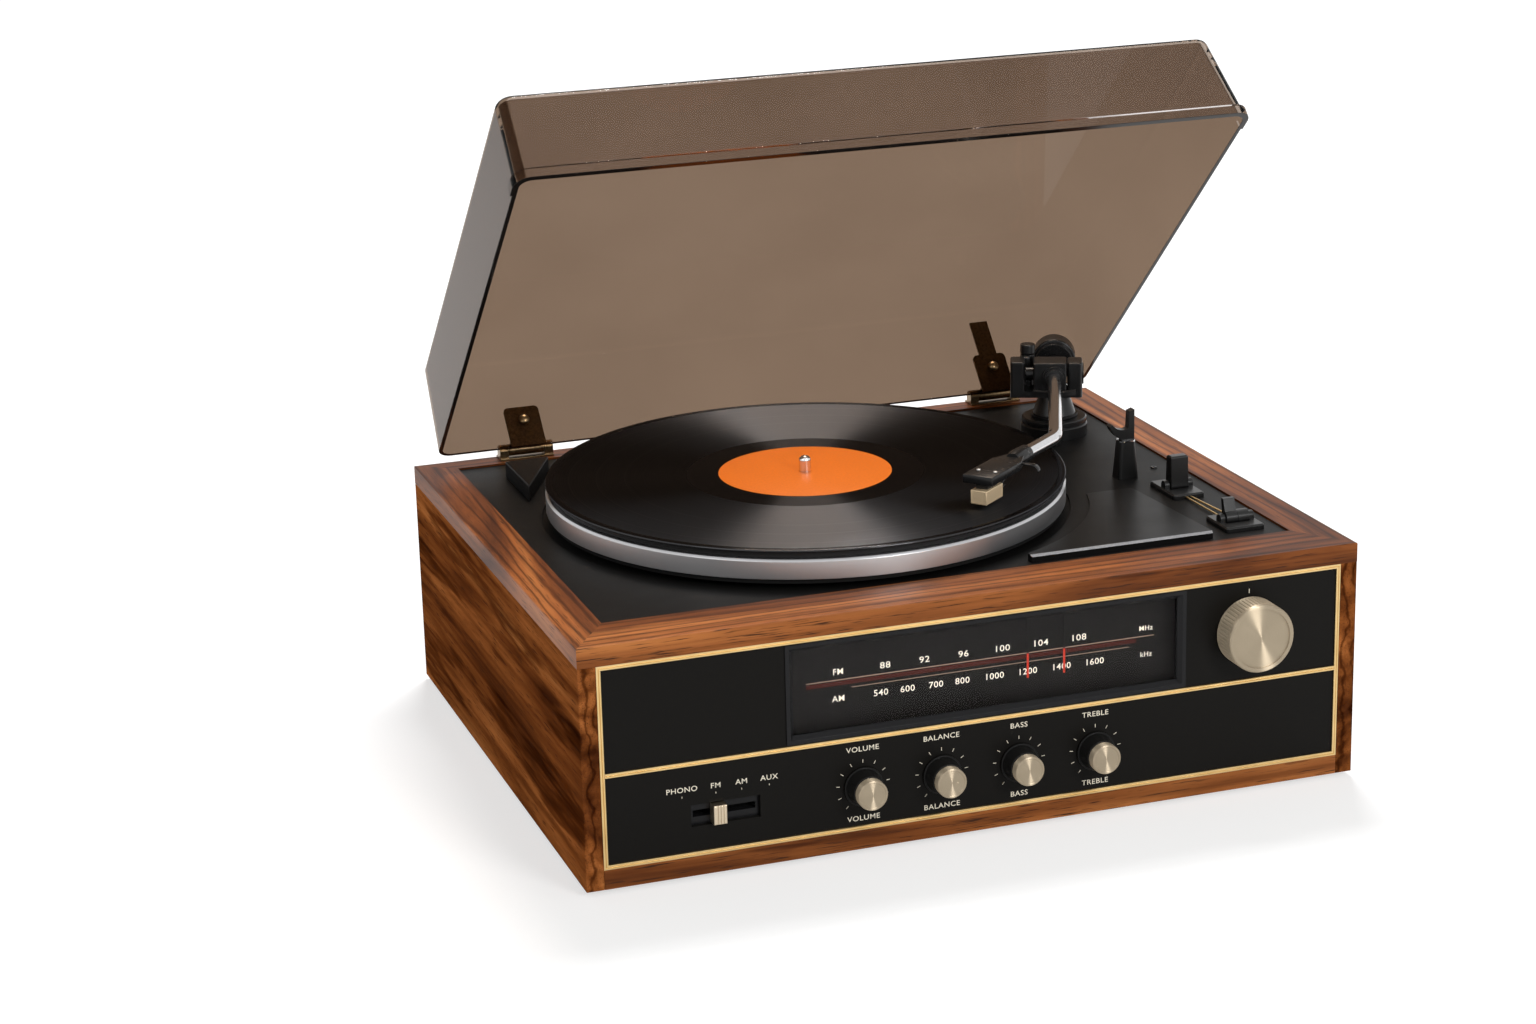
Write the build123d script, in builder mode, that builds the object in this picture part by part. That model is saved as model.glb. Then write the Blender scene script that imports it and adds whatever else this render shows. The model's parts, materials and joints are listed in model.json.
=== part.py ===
from build123d import *
import os
from math import sin, cos, radians

os.makedirs("parts", exist_ok=True)

# Record player with radio, in millimetres. X runs to the right, Y to the back, Z up.
# The origin is on the surface that the feet stand on, under the middle of the wooden case.

# Case
case_width = 448.0
case_depth = 362.0
case_height = 135.0
foot_gap = 3.0
board_thickness = 10.0
rail_height = 11.0
frame_thickness = 11.0
side_border = 24.0
front_border = 35.0
back_border = 17.0
plate_ledge = 6.0
block_size = 20.0
edge_round = 0.8

# Base board and feet
base_thickness = 4.0
base_clearance = 0.5
foot_radius = 13.0
foot_height = 8.0
foot_chamfer = 1.5
foot_screw_radius = 4.5
foot_screw_depth = 3.5
foot_inset_x = 44.0
foot_inset_y = 41.0
vent_length = 60.0
vent_width = 4.0
vent_pitch = 10.0
vent_count = 9

# Front panel, its brass trim and the tuning dial
panel_recess = 1.0
panel_thickness = 3.0
trim_width = 2.5
trim_proud = 0.2
divider_z = 66.3
dial_length = 231.7
dial_tuning_gap = 38.1
dial_margin = 0.6
bezel_lip = 0.8
bezel_width = 4.5
bezel_bevel = 2.5
bezel_land = 0.3
bezel_flange = 2.0
glass_thickness = 2.0
glass_rebate = 2.0
dial_depth = 12.0
dial_plate_thickness = 1.2
dial_plate_margin_x = 1.0
dial_plate_margin_z = 4.0
sheet_thickness = 1.5
needle_gap = 21.4
needle_from_right = 90.3
needle_bottom_z = 83.5
needle_width = 1.0
needle_thickness = 0.8
rail_radius = 1.0
running_clearance = 0.05
carriage_width = 34.0
carriage_height = 4.4
carriage_depth = 4.0
rail_drop = 3.4

# Control knobs on the front
knob_gap = 0.7
tuning_from_side = 65.6
tuning_z = 95.7
tuning_radius = 19.5
tuning_length = 15.8
tuning_edge = 1.0
tuning_rim = 2.6
tuning_dish = 0.8
knurl_count = 60
knurl_radius = 0.6
knurl_outset = 0.3
knurl_back = 1.5
knurl_front = 2.5
shaft_radius = 3.0
shaft_cover = 4.0
bush_radius = 4.5
bush_length = 6.0
nut_radius = 7.0
string_wheel_radius = 6.0
string_wheel_width = 2.5
string_wheel_gap = 0.5
tone_first_x = -68.8
tone_pitch = 45.1
tone_z = 38.8
skirt_radius = 11.0
skirt_flange = 1.2
skirt_step = 0.7
skirt_front_radius = 9.0
skirt_length = 9.6
skirt_edge = 0.4
cap_radius = 8.4
cap_length = 5.2
cap_edge = 0.6
cap_rim = 1.4
cap_dish = 0.4
pot_radius = 8.5
pot_length = 10.0
pot_lug_width = 12.0
pot_cover = 1.0

# Selector slide switch
slot_from_side = 58.7
slot_length = 38.5
slot_bottom = 30.4
slot_top = 42.8
slider_from_left = 15.0
slider_width = 7.4
slider_height = 10.8
slider_proud = 4.5
slider_edge = 0.7
slider_back_gap = 0.4
slider_groove_count = 3
slider_groove_pitch = 1.6
slider_groove_width = 0.7
slider_groove_depth = 0.6
stem_size = 3.0
stem_length = 8.0
stem_clearance = 0.4
stem_end_gap = 0.6
switch_depth = 14.0
switch_margin_x = 4.0
switch_margin_z = 3.0

# Deck plate
plate_thickness = 3.0
plate_drop = 1.0
plate_gap = 0.4
well_gap = 2.6
well_depth = 1.2
bearing_hole_gap = 0.3
pulley_hole_gap = 3.0
pin_hole_gap = 1.0

# Turntable
platter_x = -31.5
platter_radius = 150.4
platter_lift = 5.0
platter_rim_height = 11.2
platter_rim_width = 6.0
platter_flare = 2.0
platter_edge = 1.2
platter_web = 3.0
ring_inset = 1.6
ring_width = 5.0
ring_height = 2.8
sub_radius = 67.5
sub_rim = 4.0
sub_height = 8.2
sub_web = 3.0
sub_hub_radius = 16.0
sub_hub_rise = 1.0
mat_inset = 3.4
mat_thickness = 3.8
record_radius = 150.5
record_thickness = 1.6
record_edge = 0.6
record_hole_radius = 3.65
bead_width = 3.5
bead_slope = 1.0
groove_drop = 0.25
label_radius = 50.2
label_thickness = 0.2
label_bead = 2.5
label_bead_slope = 1.5
spindle_radius = 3.6
spindle_tip_radius = 3.5
spindle_taper = 1.5
spindle_taper_proud = 0.5
spindle_above_record = 9.2
spindle_dome = 2.9
bearing_radius = 9.0
bearing_depth = 34.0
bearing_floor = 4.0
bearing_flange_radius = 22.0
bearing_flange = 3.0
thrust_gap = 0.1

# Motor and belt
motor_distance = 90.0
motor_angle = 140.0
motor_radius = 20.0
motor_length = 32.0
pulley_radius = 9.0
pulley_height = 7.0
pulley_crown = 0.3
pulley_drop = 1.0
motor_shaft_radius = 1.5
belt_width = 5.0
belt_thickness = 0.7
belt_gap = 0.3
grommet_height = 4.0
grommet_radius = 4.5
grommet_inset = 0.5
grommet_count = 3
motor_flange_radius = 28.0
motor_flange = 2.0
motor_edge = 2.0
motor_shaft_gap = 0.5

# Tonearm
arm_from_spindle_x = 194.5
arm_from_spindle_y = 85.0
arm_heading = -113.5
arm_height = 37.0
arm_base_radius = 20.5
arm_base_height = 7.5
arm_groove_radius = 18.9
arm_groove_height = 1.0
arm_flange_radius = 20.0
arm_flange_height = 3.0
arm_base_chamfer = 0.7
turret_radius = 14.5
turret_height = 1.6
turret_step = 1.3
turret_gap = 0.4
neck_radius = 9.5
arm_spindle_radius = 5.0
arm_spindle_depth = 20.0
cheek_left_outer = 27.0
cheek_left_inner = 18.0
cheek_right_inner = 8.0
cheek_right_outer = 17.3
cheek_round = 2.0
tail_front = 5.5
tail_inner = 15.0
cheek_rise = 9.0
yoke_half_length = 8.0
yoke_floor = 4.0
yoke_gap = 1.0
bearing_cap_radius = 6.5
bearing_cap_height = 0.8
block_left = 13.0
block_right = 7.6
block_half_length = 9.0
block_half_height = 8.5
block_round = 1.5
gimbal_boss_radius = 4.0
gimbal_boss_length = 4.6
gimbal_pin_radius = 2.0
gimbal_pin_depth = 4.5
gimbal_pin_gap = 0.5
tube_radius = 4.0
tube_wall = 0.8
tube_straight = 143.0
tube_offset_angle = 30.8
tube_bend_radius = 24.0
tube_offset_length = 30.0
tube_start = 12.0
collar_radius = 7.0
collar_step_radius = 6.0
collar_length = 3.0
rear_shaft_radius = 5.0
rear_shaft_length = 54.0
weight_radius = 13.5
weight_length = 20.0
weight_start = 27.0
weight_ring_radius = 11.5
weight_ring_length = 4.0
weight_edge = 1.2
shell_collar_radius = 5.4
shell_collar_length = 20.0
shell_overlap = 3.0
shell_length = 38.0
shell_rear_width = 11.0
shell_front_width = 19.0
shell_thickness = 4.4
shell_corner = 2.0
shell_slant = 5.0
shell_wall = 2.6
shell_hollow_start = 8.0
shell_hollow_depth = 1.6
lift_tab_reach = 17.0
lift_tab_bow = 5.0
lift_tab_width = 3.0
lift_tab_thickness = 1.4
cartridge_width = 11.0
cartridge_length = 14.0
cartridge_height = 9.6
cartridge_drop = 3.4
cartridge_setback = 2.0
cartridge_edge = 0.8
cartridge_neck_length = 8.0
cartridge_neck_width = 9.0
stylus_gap = 0.3
stylus_setback = 3.0
stylus_height = 1.0
stylus_tip_radius = 0.2
cantilever_length = 7.0
cantilever_width = 0.8
skate_back = 15.2
skate_side = 16.4
skate_radius = 4.6
skate_height = 5.9
skate_edge = 0.5
skate_gap = 0.3
skate_pin_radius = 1.5
skate_pin_length = 5.5
skate_pin_gap = 0.5
lift_distance = 27.0
lift_pin_radius = 2.0
lift_guide_radius = 4.0
lift_guide_height = 14.0
lift_bar_span = 26.0
lift_bar_thickness = 2.5
lift_bar_width = 4.0
lift_gap = 0.5
lift_pin_below = 8.0
lift_arm_width = 4.0
lift_arm_height = 4.0

# Arm rest and levers
rest_from_arm_x = 0.5
rest_from_arm_y = 105.0
rest_shoulder = 22.0
rest_top = 40.5
rest_foot_x = 13.0
rest_foot_y = 11.0
rest_head_x = 9.6
rest_head_y = 8.4
rest_corner = 2.0
hook_thickness = 5.2
hook_root = 1.0
prong_right = 4.6
prong_left = 0.9
prong_slope = 1.0
cradle_depth = 7.2
hook_reach = 9.4
hook_rise = 10.3
hook_tip = 2.0
hook_drop = 0.9
cue_from_side = 22.5
cue_from_rest = 39.0
cue_plate_x = 20.0
cue_plate_y = 33.0
start_from_side = 21.0
start_from_front = 24.5
start_plate_x = 24.0
start_plate_y = 27.0
lever_plate_thickness = 3.0
lever_plate_corner = 2.0
lever_plate_edge = 0.8
lever_pin_radius = 1.5
lever_pin_lift = 1.6
boss_radius = 4.0
barrel_radius = 4.3
ear_thickness = 3.0
ear_wall = 1.4
ear_gap = 0.4
lever_slot_gap = 0.5
cue_width = 11.0
cue_height = 17.5
cue_taper = 0.8
cue_edge = 0.8
start_width = 14.0
start_height = 11.0
fin_share = 0.5
fin_root = 2.4
fin_lean = 4.2
fin_tip = 2.6

# Raised board on the deck
board_height = 4.5
board_length = 110.0
board_cue_gap = 11.5
board_from_front = 6.0
board_rest_gap = 23.0
board_back_height = 0.4
board_arc_gap = 13.6
board_edge = 1.2
board_corner = 1.5

# Corner block behind the platter
corner_height = 10.0
corner_from_side = 22.5
corner_from_back = 26.0
corner_length_x = 27.0
corner_length_y = 56.0
corner_arc_gap = 12.6
corner_edge = 0.6

# Dust cover and its hinges
lid_angle = 43.0
lid_side_inset = 10.5
lid_front_lap = 2.2
lid_height = 60.0
lid_wall = 2.6
lid_side_draft = 3.0
lid_front_draft = 10.0
lid_corner = 9.0
lid_edge = 5.0
lid_seat = 0.3
lid_back_inset = 17.7
pin_back = 10.7
pin_height = 5.0
hinge_from_side = 68.5
leaf_width = 22.0
leaf_height = 27.0
leaf_thickness = 1.5
leaf_gap = 1.0
leaf_corner = 3.0
strip_width = 12.0
strip_length = 24.0
knuckle_radius = 3.6
knuckle_gap = 0.3
hinge_pin_radius = 1.8
bracket_ear = 5.5
bracket_base = 1.0
bracket_depth = 12.0
lip_proud = 1.2
lip_height = 6.0
lip_length = 18.0

# Back of the case
rear_width = 300.0
rear_height = 74.0
rear_z = 66.0
rear_lap = 8.0
rear_thickness = 1.5
socket_x = -95.0
socket_drop = 10.0
socket_pitch = 14.0
socket_radius = 4.15
socket_hole_radius = 1.6
socket_reach = 8.0
socket_root = 8.0
inlet_x = 110.0
inlet_drop = 6.0
inlet_width = 26.0
inlet_height = 16.0
inlet_proud = 1.0
inlet_depth = 19.0
inlet_well_width = 19.0
inlet_well_height = 10.0
inlet_well_depth = 14.0
inlet_pin_radius = 1.2
inlet_pin_pitch = 8.6
inlet_pin_length = 12.5
terminal_x = 10.0
terminal_drop = 8.0
terminal_width = 64.0
terminal_height = 22.0
terminal_proud = 6.0
terminal_root = 10.0
terminal_pitch = 15.0
terminal_key_width = 9.0
terminal_key_height = 15.0
terminal_key_depth = 3.0
aerial_x = -30.0
aerial_lift = 22.0
aerial_width = 52.0
aerial_height = 14.0
aerial_proud = 2.0
aerial_root = 4.0
aerial_pitch = 12.5
aerial_screw_radius = 3.0
aerial_screw_height = 3.0

# Inside the case
core_width = 70.0
core_depth = 36.0
core_height = 58.0
coil_width = 46.0
coil_depth = 60.0
coil_corner = 8.0
coil_lift = 10.0
coil_height = 38.0
tab_width = 92.0
tab_depth = 22.0
tab_thickness = 2.0
transformer_x = 140.0
transformer_y = 100.0
circuit_x = -60.0
circuit_y = 30.0
circuit_width = 240.0
circuit_depth = 180.0
circuit_thickness = 1.6
circuit_lift = 14.0
pillar_radius = 3.5
pillar_inset = 7.0
capacitor_x = -150.0
capacitor_y = 80.0
capacitor_radius = 10.0
capacitor_height = 32.0
capacitor_pitch_x = 26.0
capacitor_pitch_y = 30.0
sink_x = 20.0
sink_y = 60.0
sink_fins = 7
sink_pitch = 9.0
sink_fin = 2.5
sink_depth = 70.0
sink_web = 4.0
sink_height = 38.0
can_x = -80.0
can_y = -30.0
can_size = 14.0
can_height = 16.0
can_pitch_x = 28.0
can_pitch_y = 26.0
gang_gap = 4.0
gang_reach = 12.0
gang_setback = 3.0
gang_width = 40.0
gang_depth = 44.0
gang_height = 38.0
gang_drop = 20.0
gang_slots = 4
gang_slot_width = 32.0
gang_slot = 4.0
gang_slot_pitch = 9.0
gang_slot_setback = 2.0
gang_floor = 6.0
gang_foot_width = 30.0
gang_foot = 2.0

# Places that follow from the sizes
half_width = case_width / 2
half_depth = case_depth / 2
top_z = foot_gap + case_height
plate_width = case_width - 2 * side_border
plate_depth = case_depth - front_border - back_border
plate_y = (front_border - back_border) / 2
deck_z = top_z - plate_drop
plate_bottom_z = deck_z - plate_thickness
inner_width = case_width - 2 * board_thickness
opening_bottom = foot_gap + rail_height
opening_top = top_z - frame_thickness
panel_front = -half_depth + panel_recess
panel_back = panel_front + panel_thickness
base_z = foot_height
inside_floor = base_z + base_thickness
plate_right = plate_width / 2
plate_front = plate_y - plate_depth / 2
plate_back = plate_y + plate_depth / 2
tuning_x = half_width - tuning_from_side
dial_right = tuning_x - dial_tuning_gap
dial_left = dial_right - dial_length
needle_x = dial_right - needle_from_right
slot_left = slot_from_side - half_width
slot_right = slot_left + slot_length
slider_x = slot_left + slider_from_left
platter_y = plate_y
well_radius = platter_radius + well_gap
arm_x = platter_x + arm_from_spindle_x
arm_y = platter_y + arm_from_spindle_y
rest_x = arm_x - rest_from_arm_x
rest_y = arm_y - rest_from_arm_y
cue_x = plate_right - cue_from_side
cue_y = rest_y - cue_from_rest
start_x = plate_right - start_from_side
start_y = plate_front + start_from_front
board_right = cue_x - cue_plate_x / 2 - board_cue_gap
board_left = board_right - board_length
board_front = plate_front + board_from_front
board_back = rest_y - board_rest_gap
board_arc_radius = platter_radius + board_arc_gap
corner_left = corner_from_side - plate_right
corner_right = corner_left + corner_length_x
corner_back = plate_back - corner_from_back
corner_front = corner_back - corner_length_y
corner_arc_radius = platter_radius + corner_arc_gap
lid_half_width = half_width - lid_side_inset
lid_back = half_depth - lid_back_inset
lid_depth = lid_back - plate_front + lid_front_lap
hinge_x = half_width - hinge_from_side

# Wooden case

front_y = -half_depth + front_border + plate_ledge
back_y = half_depth - back_border - plate_ledge
inner_x = plate_width / 2 - plate_ledge
outer_corners = ((-half_width, -half_depth), (half_width, -half_depth), (half_width, half_depth),
                 (-half_width, half_depth))
inner_corners = ((-inner_x, front_y), (inner_x, front_y), (inner_x, back_y), (-inner_x, back_y))
frame_members = []
for corner in range(4):
    after = (corner + 1) % 4
    with BuildPart() as member:
        with BuildSketch(Plane.XY.offset(opening_top)):
            with BuildLine():
                Polyline(outer_corners[corner], outer_corners[after], inner_corners[after],
                         inner_corners[corner], close=True)
            make_face()
        extrude(amount=frame_thickness)
        outer_edge = member.edges().group_by(Axis.Z)[-1].sort_by(SortBy.LENGTH)[-1]
        fillet(outer_edge, radius=edge_round)
        with BuildSketch(Plane.XY.offset(plate_bottom_z)):
            with Locations((0, plate_y)):
                Rectangle(plate_width + 2 * plate_gap, plate_depth + 2 * plate_gap)
        extrude(amount=frame_thickness, mode=Mode.SUBTRACT)
    frame_members.append(member.part)

with BuildPart() as corner_posts:
    with BuildSketch(Plane.XY.offset(inside_floor)):
        with GridLocations(inner_width - block_size, case_depth - 2 * board_thickness - block_size, 2, 2):
            Rectangle(block_size, block_size)
    extrude(amount=opening_top - inside_floor)

with BuildPart() as top_frame:
    add(frame_members)
    add(corner_posts.part)
top_frame.part.label = "top_frame"
export_step(top_frame.part, "parts/top_frame.step")

with BuildPart() as side_boards:
    with BuildSketch(Plane.XY.offset(foot_gap)):
        with GridLocations(case_width - board_thickness, 0, 2, 1):
            Rectangle(board_thickness, case_depth)
    extrude(amount=opening_top - foot_gap)
side_boards.part.label = "side_boards"
export_step(side_boards.part, "parts/side_boards.step")

with BuildPart() as bottom_rail:
    with BuildSketch(Plane.XY.offset(foot_gap)):
        with Locations((0, -half_depth + board_thickness / 2)):
            Rectangle(inner_width, board_thickness)
    extrude(amount=opening_bottom - foot_gap)
bottom_rail.part.label = "bottom_rail"
export_step(bottom_rail.part, "parts/bottom_rail.step")

with BuildPart() as back_board:
    with BuildSketch(Plane.XY.offset(foot_gap)):
        with Locations((0, half_depth - board_thickness / 2)):
            Rectangle(inner_width, board_thickness)
    extrude(amount=opening_top - foot_gap)
    with BuildSketch(Plane.XZ.offset(-half_depth)):
        with Locations((0, rear_z)):
            Rectangle(rear_width, rear_height)
    extrude(amount=board_thickness, mode=Mode.SUBTRACT)
back_board.part.label = "back_board"
export_step(back_board.part, "parts/back_board.step")

with BuildPart() as base_board:
    with BuildSketch(Plane.XY.offset(base_z)):
        Rectangle(inner_width - 2 * base_clearance, case_depth - 2 * board_thickness - 2 * base_clearance)
        with GridLocations(0, vent_pitch, 1, vent_count):
            SlotOverall(vent_length, vent_width, mode=Mode.SUBTRACT)
    extrude(amount=base_thickness)
base_board.part.label = "base_board"
export_step(base_board.part, "parts/base_board.step")

with BuildPart() as feet:
    with BuildSketch(Plane.XY):
        with GridLocations(case_width - 2 * foot_inset_x, case_depth - 2 * foot_inset_y, 2, 2):
            Circle(foot_radius)
    extrude(amount=foot_height)
    chamfer(feet.edges().group_by(Axis.Z)[0], length=foot_chamfer)
    with BuildSketch(Plane.XY):
        with GridLocations(case_width - 2 * foot_inset_x, case_depth - 2 * foot_inset_y, 2, 2):
            Circle(foot_screw_radius)
    extrude(amount=foot_screw_depth, mode=Mode.SUBTRACT)
feet.part.label = "feet"
export_step(feet.part, "parts/feet.step")

# Front panel with its brass trim

knob_places = [(tone_first_x + i * tone_pitch, tone_z) for i in range(4)]
dial_bottom = divider_z + trim_width / 2 + dial_margin
dial_top = opening_top - trim_width - dial_margin
dial_x = (dial_left + dial_right) / 2
dial_width = dial_right - dial_left
dial_z = (dial_bottom + dial_top) / 2
dial_height = dial_top - dial_bottom
front_plane = Plane.XZ.offset(-panel_front)
slot_x = (slot_left + slot_right) / 2
slot_z = (slot_bottom + slot_top) / 2

with BuildPart() as front_panel:
    with BuildSketch(Plane.XZ.offset(-panel_back)):
        with Locations((0, (opening_bottom + opening_top) / 2)):
            Rectangle(inner_width, opening_top - opening_bottom)
        with Locations((dial_x, dial_z)):
            Rectangle(dial_width - 2 * bezel_flange, dial_height - 2 * bezel_flange, mode=Mode.SUBTRACT)
        with Locations((slot_x, slot_z)):
            Rectangle(slot_right - slot_left, slot_top - slot_bottom, mode=Mode.SUBTRACT)
        with Locations(*knob_places, (tuning_x, tuning_z)):
            Circle(bush_radius, mode=Mode.SUBTRACT)
    extrude(amount=panel_thickness)
front_panel.part.label = "front_panel"
export_step(front_panel.part, "parts/front_panel.step")

with BuildPart() as brass_trim:
    with BuildSketch(front_plane):
        with Locations((0, (opening_bottom + opening_top) / 2)):
            Rectangle(inner_width, opening_top - opening_bottom)
            Rectangle(inner_width - 2 * trim_width, opening_top - opening_bottom - 2 * trim_width,
                      mode=Mode.SUBTRACT)
        with Locations((0, divider_z)):
            Rectangle(inner_width - trim_width, trim_width)
    extrude(amount=panel_recess + trim_proud)
brass_trim.part.label = "brass_trim"
export_step(brass_trim.part, "parts/brass_trim.step")

# Tuning dial behind its bezel

glass_front = panel_front + bezel_lip + glass_thickness / 2
glass_back = glass_front + glass_thickness
window_width = dial_width - 2 * bezel_width
window_height = dial_height - 2 * bezel_width

with BuildPart() as dial_bezel:
    with BuildSketch(Plane.XZ.offset(-glass_back)):
        with Locations((dial_x, dial_z)):
            Rectangle(dial_width - 2 * bezel_flange, dial_height - 2 * bezel_flange)
    extrude(amount=glass_back - panel_front)
    with BuildSketch(front_plane):
        with Locations((dial_x, dial_z)):
            Rectangle(dial_width, dial_height)
    extrude(amount=bezel_lip)
    with BuildSketch(Plane.XZ.offset(-glass_back)):
        with Locations((dial_x, dial_z)):
            Rectangle(window_width, window_height)
    extrude(amount=glass_back - panel_front + bezel_lip, mode=Mode.SUBTRACT)
    window_edges = dial_bezel.edges().group_by(Axis.Y)[0].filter_by(
        lambda edge: abs(edge.center().X - dial_x) < window_width / 2 + 0.01
        and abs(edge.center().Z - dial_z) < window_height / 2 + 0.01)
    chamfer(window_edges, length=bezel_lip + glass_front - panel_front - bezel_land, length2=bezel_bevel)
    with BuildSketch(Plane.XZ.offset(-glass_back)):
        with Locations((dial_x, dial_z)):
            Rectangle(window_width + glass_rebate, window_height + glass_rebate)
    extrude(amount=glass_thickness, mode=Mode.SUBTRACT)
dial_bezel.part.label = "dial_bezel"
export_step(dial_bezel.part, "parts/dial_bezel.step")

with BuildPart() as dial_glass:
    with BuildSketch(Plane.XZ.offset(-glass_back)):
        with Locations((dial_x, dial_z)):
            Rectangle(window_width + glass_rebate, window_height + glass_rebate)
    extrude(amount=glass_thickness)
dial_glass.part.label = "dial_glass"
export_step(dial_glass.part, "parts/dial_glass.step")

box_back = panel_back + dial_depth
plate_face = box_back - sheet_thickness - dial_plate_thickness
rail_y = (glass_back + plate_face) / 2
rail_z = dial_top - rail_drop
with BuildPart() as dial_box:
    with BuildSketch(Plane.XZ.offset(-box_back)):
        with Locations((dial_x, dial_z)):
            Rectangle(dial_width + 2 * sheet_thickness, dial_height + 2 * sheet_thickness)
    extrude(amount=dial_depth)
    with BuildSketch(Plane.XZ.offset(-box_back + sheet_thickness)):
        with Locations((dial_x, dial_z)):
            Rectangle(dial_width, dial_height)
    extrude(amount=dial_depth, mode=Mode.SUBTRACT)
    with BuildSketch(Plane.YZ.offset(dial_left)):
        with Locations((rail_y, rail_z)):
            Circle(rail_radius)
    extrude(amount=dial_width)
dial_box.part.label = "dial_box"
export_step(dial_box.part, "parts/dial_box.step")

with BuildPart() as dial_plate:
    with BuildSketch(Plane.XZ.offset(-(box_back - sheet_thickness))):
        with Locations((dial_x, dial_z)):
            Rectangle(dial_width - 2 * dial_plate_margin_x, dial_height - 2 * dial_plate_margin_z)
    extrude(amount=dial_plate_thickness)
dial_plate.part.label = "dial_plate"
export_step(dial_plate.part, "parts/dial_plate.step")

carriage_x = needle_x + needle_gap / 2
with BuildPart() as dial_pointer:
    with BuildSketch(Plane.XZ.offset(-(rail_y + carriage_depth / 2))):
        with Locations((carriage_x, rail_z)):
            Rectangle(carriage_width, carriage_height)
    extrude(amount=carriage_depth)
    with BuildSketch(Plane.XZ.offset(-(rail_y + needle_thickness / 2))):
        with Locations(*[(needle_x + i * needle_gap, (needle_bottom_z + rail_z) / 2) for i in range(2)]):
            Rectangle(needle_width, rail_z - needle_bottom_z)
    extrude(amount=needle_thickness)
    with BuildSketch(Plane.YZ.offset(dial_left)):
        with Locations((rail_y, rail_z)):
            Circle(rail_radius + running_clearance)
    extrude(amount=dial_width, mode=Mode.SUBTRACT)
dial_pointer.part.label = "dial_pointer"
export_step(dial_pointer.part, "parts/dial_pointer.step")

# Knobs, their shafts and the controls behind the panel

bush_back = panel_back + bush_length
pot_back = bush_back + pot_length
with BuildPart() as panel_controls:
    with BuildSketch(Plane.XZ.offset(-bush_back)):
        with Locations(*knob_places, (tuning_x, tuning_z)):
            Circle(bush_radius)
    extrude(amount=bush_back - panel_front)
    with BuildSketch(Plane.XZ.offset(-bush_back)):
        with Locations(*knob_places, (tuning_x, tuning_z)):
            RegularPolygon(nut_radius, 6)
    extrude(amount=bush_length)
    with BuildSketch(Plane.XZ.offset(-pot_back)):
        with Locations(*knob_places):
            Circle(pot_radius)
            with Locations((0, -pot_radius)):
                Rectangle(pot_lug_width, pot_radius)
    extrude(amount=pot_length)
    with BuildSketch(Plane.XZ.offset(-pot_back)):
        with Locations(*knob_places, (tuning_x, tuning_z)):
            Circle(shaft_radius + running_clearance)
    extrude(amount=pot_back - panel_front, mode=Mode.SUBTRACT)
panel_controls.part.label = "panel_controls"
export_step(panel_controls.part, "parts/panel_controls.step")

knob_back = panel_front - knob_gap
for (knob_x, knob_z), name in zip(knob_places, ("volume", "balance", "bass", "treble")):
    axis_plane = Plane(origin=(knob_x, knob_back, knob_z), x_dir=(1, 0, 0), z_dir=(0, -1, 0))
    with BuildPart() as skirt:
        with BuildSketch(axis_plane):
            Circle(skirt_radius)
        extrude(amount=skirt_flange)
        fillet(skirt.edges(), radius=skirt_edge)
        with BuildSketch(axis_plane.offset(skirt_flange)):
            Circle(skirt_radius - skirt_step)
        with BuildSketch(axis_plane.offset(skirt_length)):
            Circle(skirt_front_radius)
        loft()
        fillet(skirt.edges().group_by(Axis.Y)[0], radius=skirt_edge)
        with BuildSketch(axis_plane):
            Circle(shaft_radius)
        extrude(amount=-(pot_back - knob_back - pot_cover))
    skirt.part.label = name + "_knob"
    export_step(skirt.part, "parts/" + name + "_knob.step")
    with BuildPart() as cap:
        with BuildSketch(axis_plane.offset(skirt_length)):
            Circle(cap_radius)
        extrude(amount=cap_length)
        chamfer(cap.edges().group_by(Axis.Y)[0], length=cap_edge)
        with BuildSketch(axis_plane.offset(skirt_length + cap_length)):
            Circle(cap_radius - cap_rim)
        extrude(amount=-cap_dish, mode=Mode.SUBTRACT)
    cap.part.label = name + "_cap"
    export_step(cap.part, "parts/" + name + "_cap.step")

tuning_plane = Plane(origin=(tuning_x, knob_back, tuning_z), x_dir=(1, 0, 0), z_dir=(0, -1, 0))
shaft_front = tuning_length - shaft_cover
with BuildPart() as tuning_knob:
    with BuildSketch(tuning_plane):
        Circle(tuning_radius)
    extrude(amount=tuning_length)
    chamfer(tuning_knob.edges().group_by(Axis.Y)[0], length=tuning_edge)
    with BuildSketch(tuning_plane.offset(knurl_back)):
        with PolarLocations(tuning_radius + knurl_outset, knurl_count):
            Circle(knurl_radius)
    extrude(amount=tuning_length - knurl_back - knurl_front, mode=Mode.SUBTRACT)
    with BuildSketch(tuning_plane.offset(tuning_length)):
        Circle(tuning_radius - tuning_rim)
    extrude(amount=-tuning_dish, mode=Mode.SUBTRACT)
    with BuildSketch(tuning_plane):
        Circle(shaft_radius)
    extrude(amount=shaft_front, mode=Mode.SUBTRACT)
tuning_knob.part.label = "tuning_knob"
export_step(tuning_knob.part, "parts/tuning_knob.step")

gang_front = bush_back + gang_gap + gang_setback
wheel_back = gang_front - string_wheel_gap
with BuildPart() as tuning_shaft:
    with BuildSketch(tuning_plane.offset(shaft_front)):
        Circle(shaft_radius)
    extrude(amount=knob_back - gang_front - gang_reach - shaft_front)
    with BuildSketch(Plane.XZ.offset(-wheel_back)):
        with Locations((tuning_x, tuning_z)):
            Circle(string_wheel_radius)
    extrude(amount=string_wheel_width)
tuning_shaft.part.label = "tuning_shaft"
export_step(tuning_shaft.part, "parts/tuning_shaft.step")

# Selector slide switch

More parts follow.
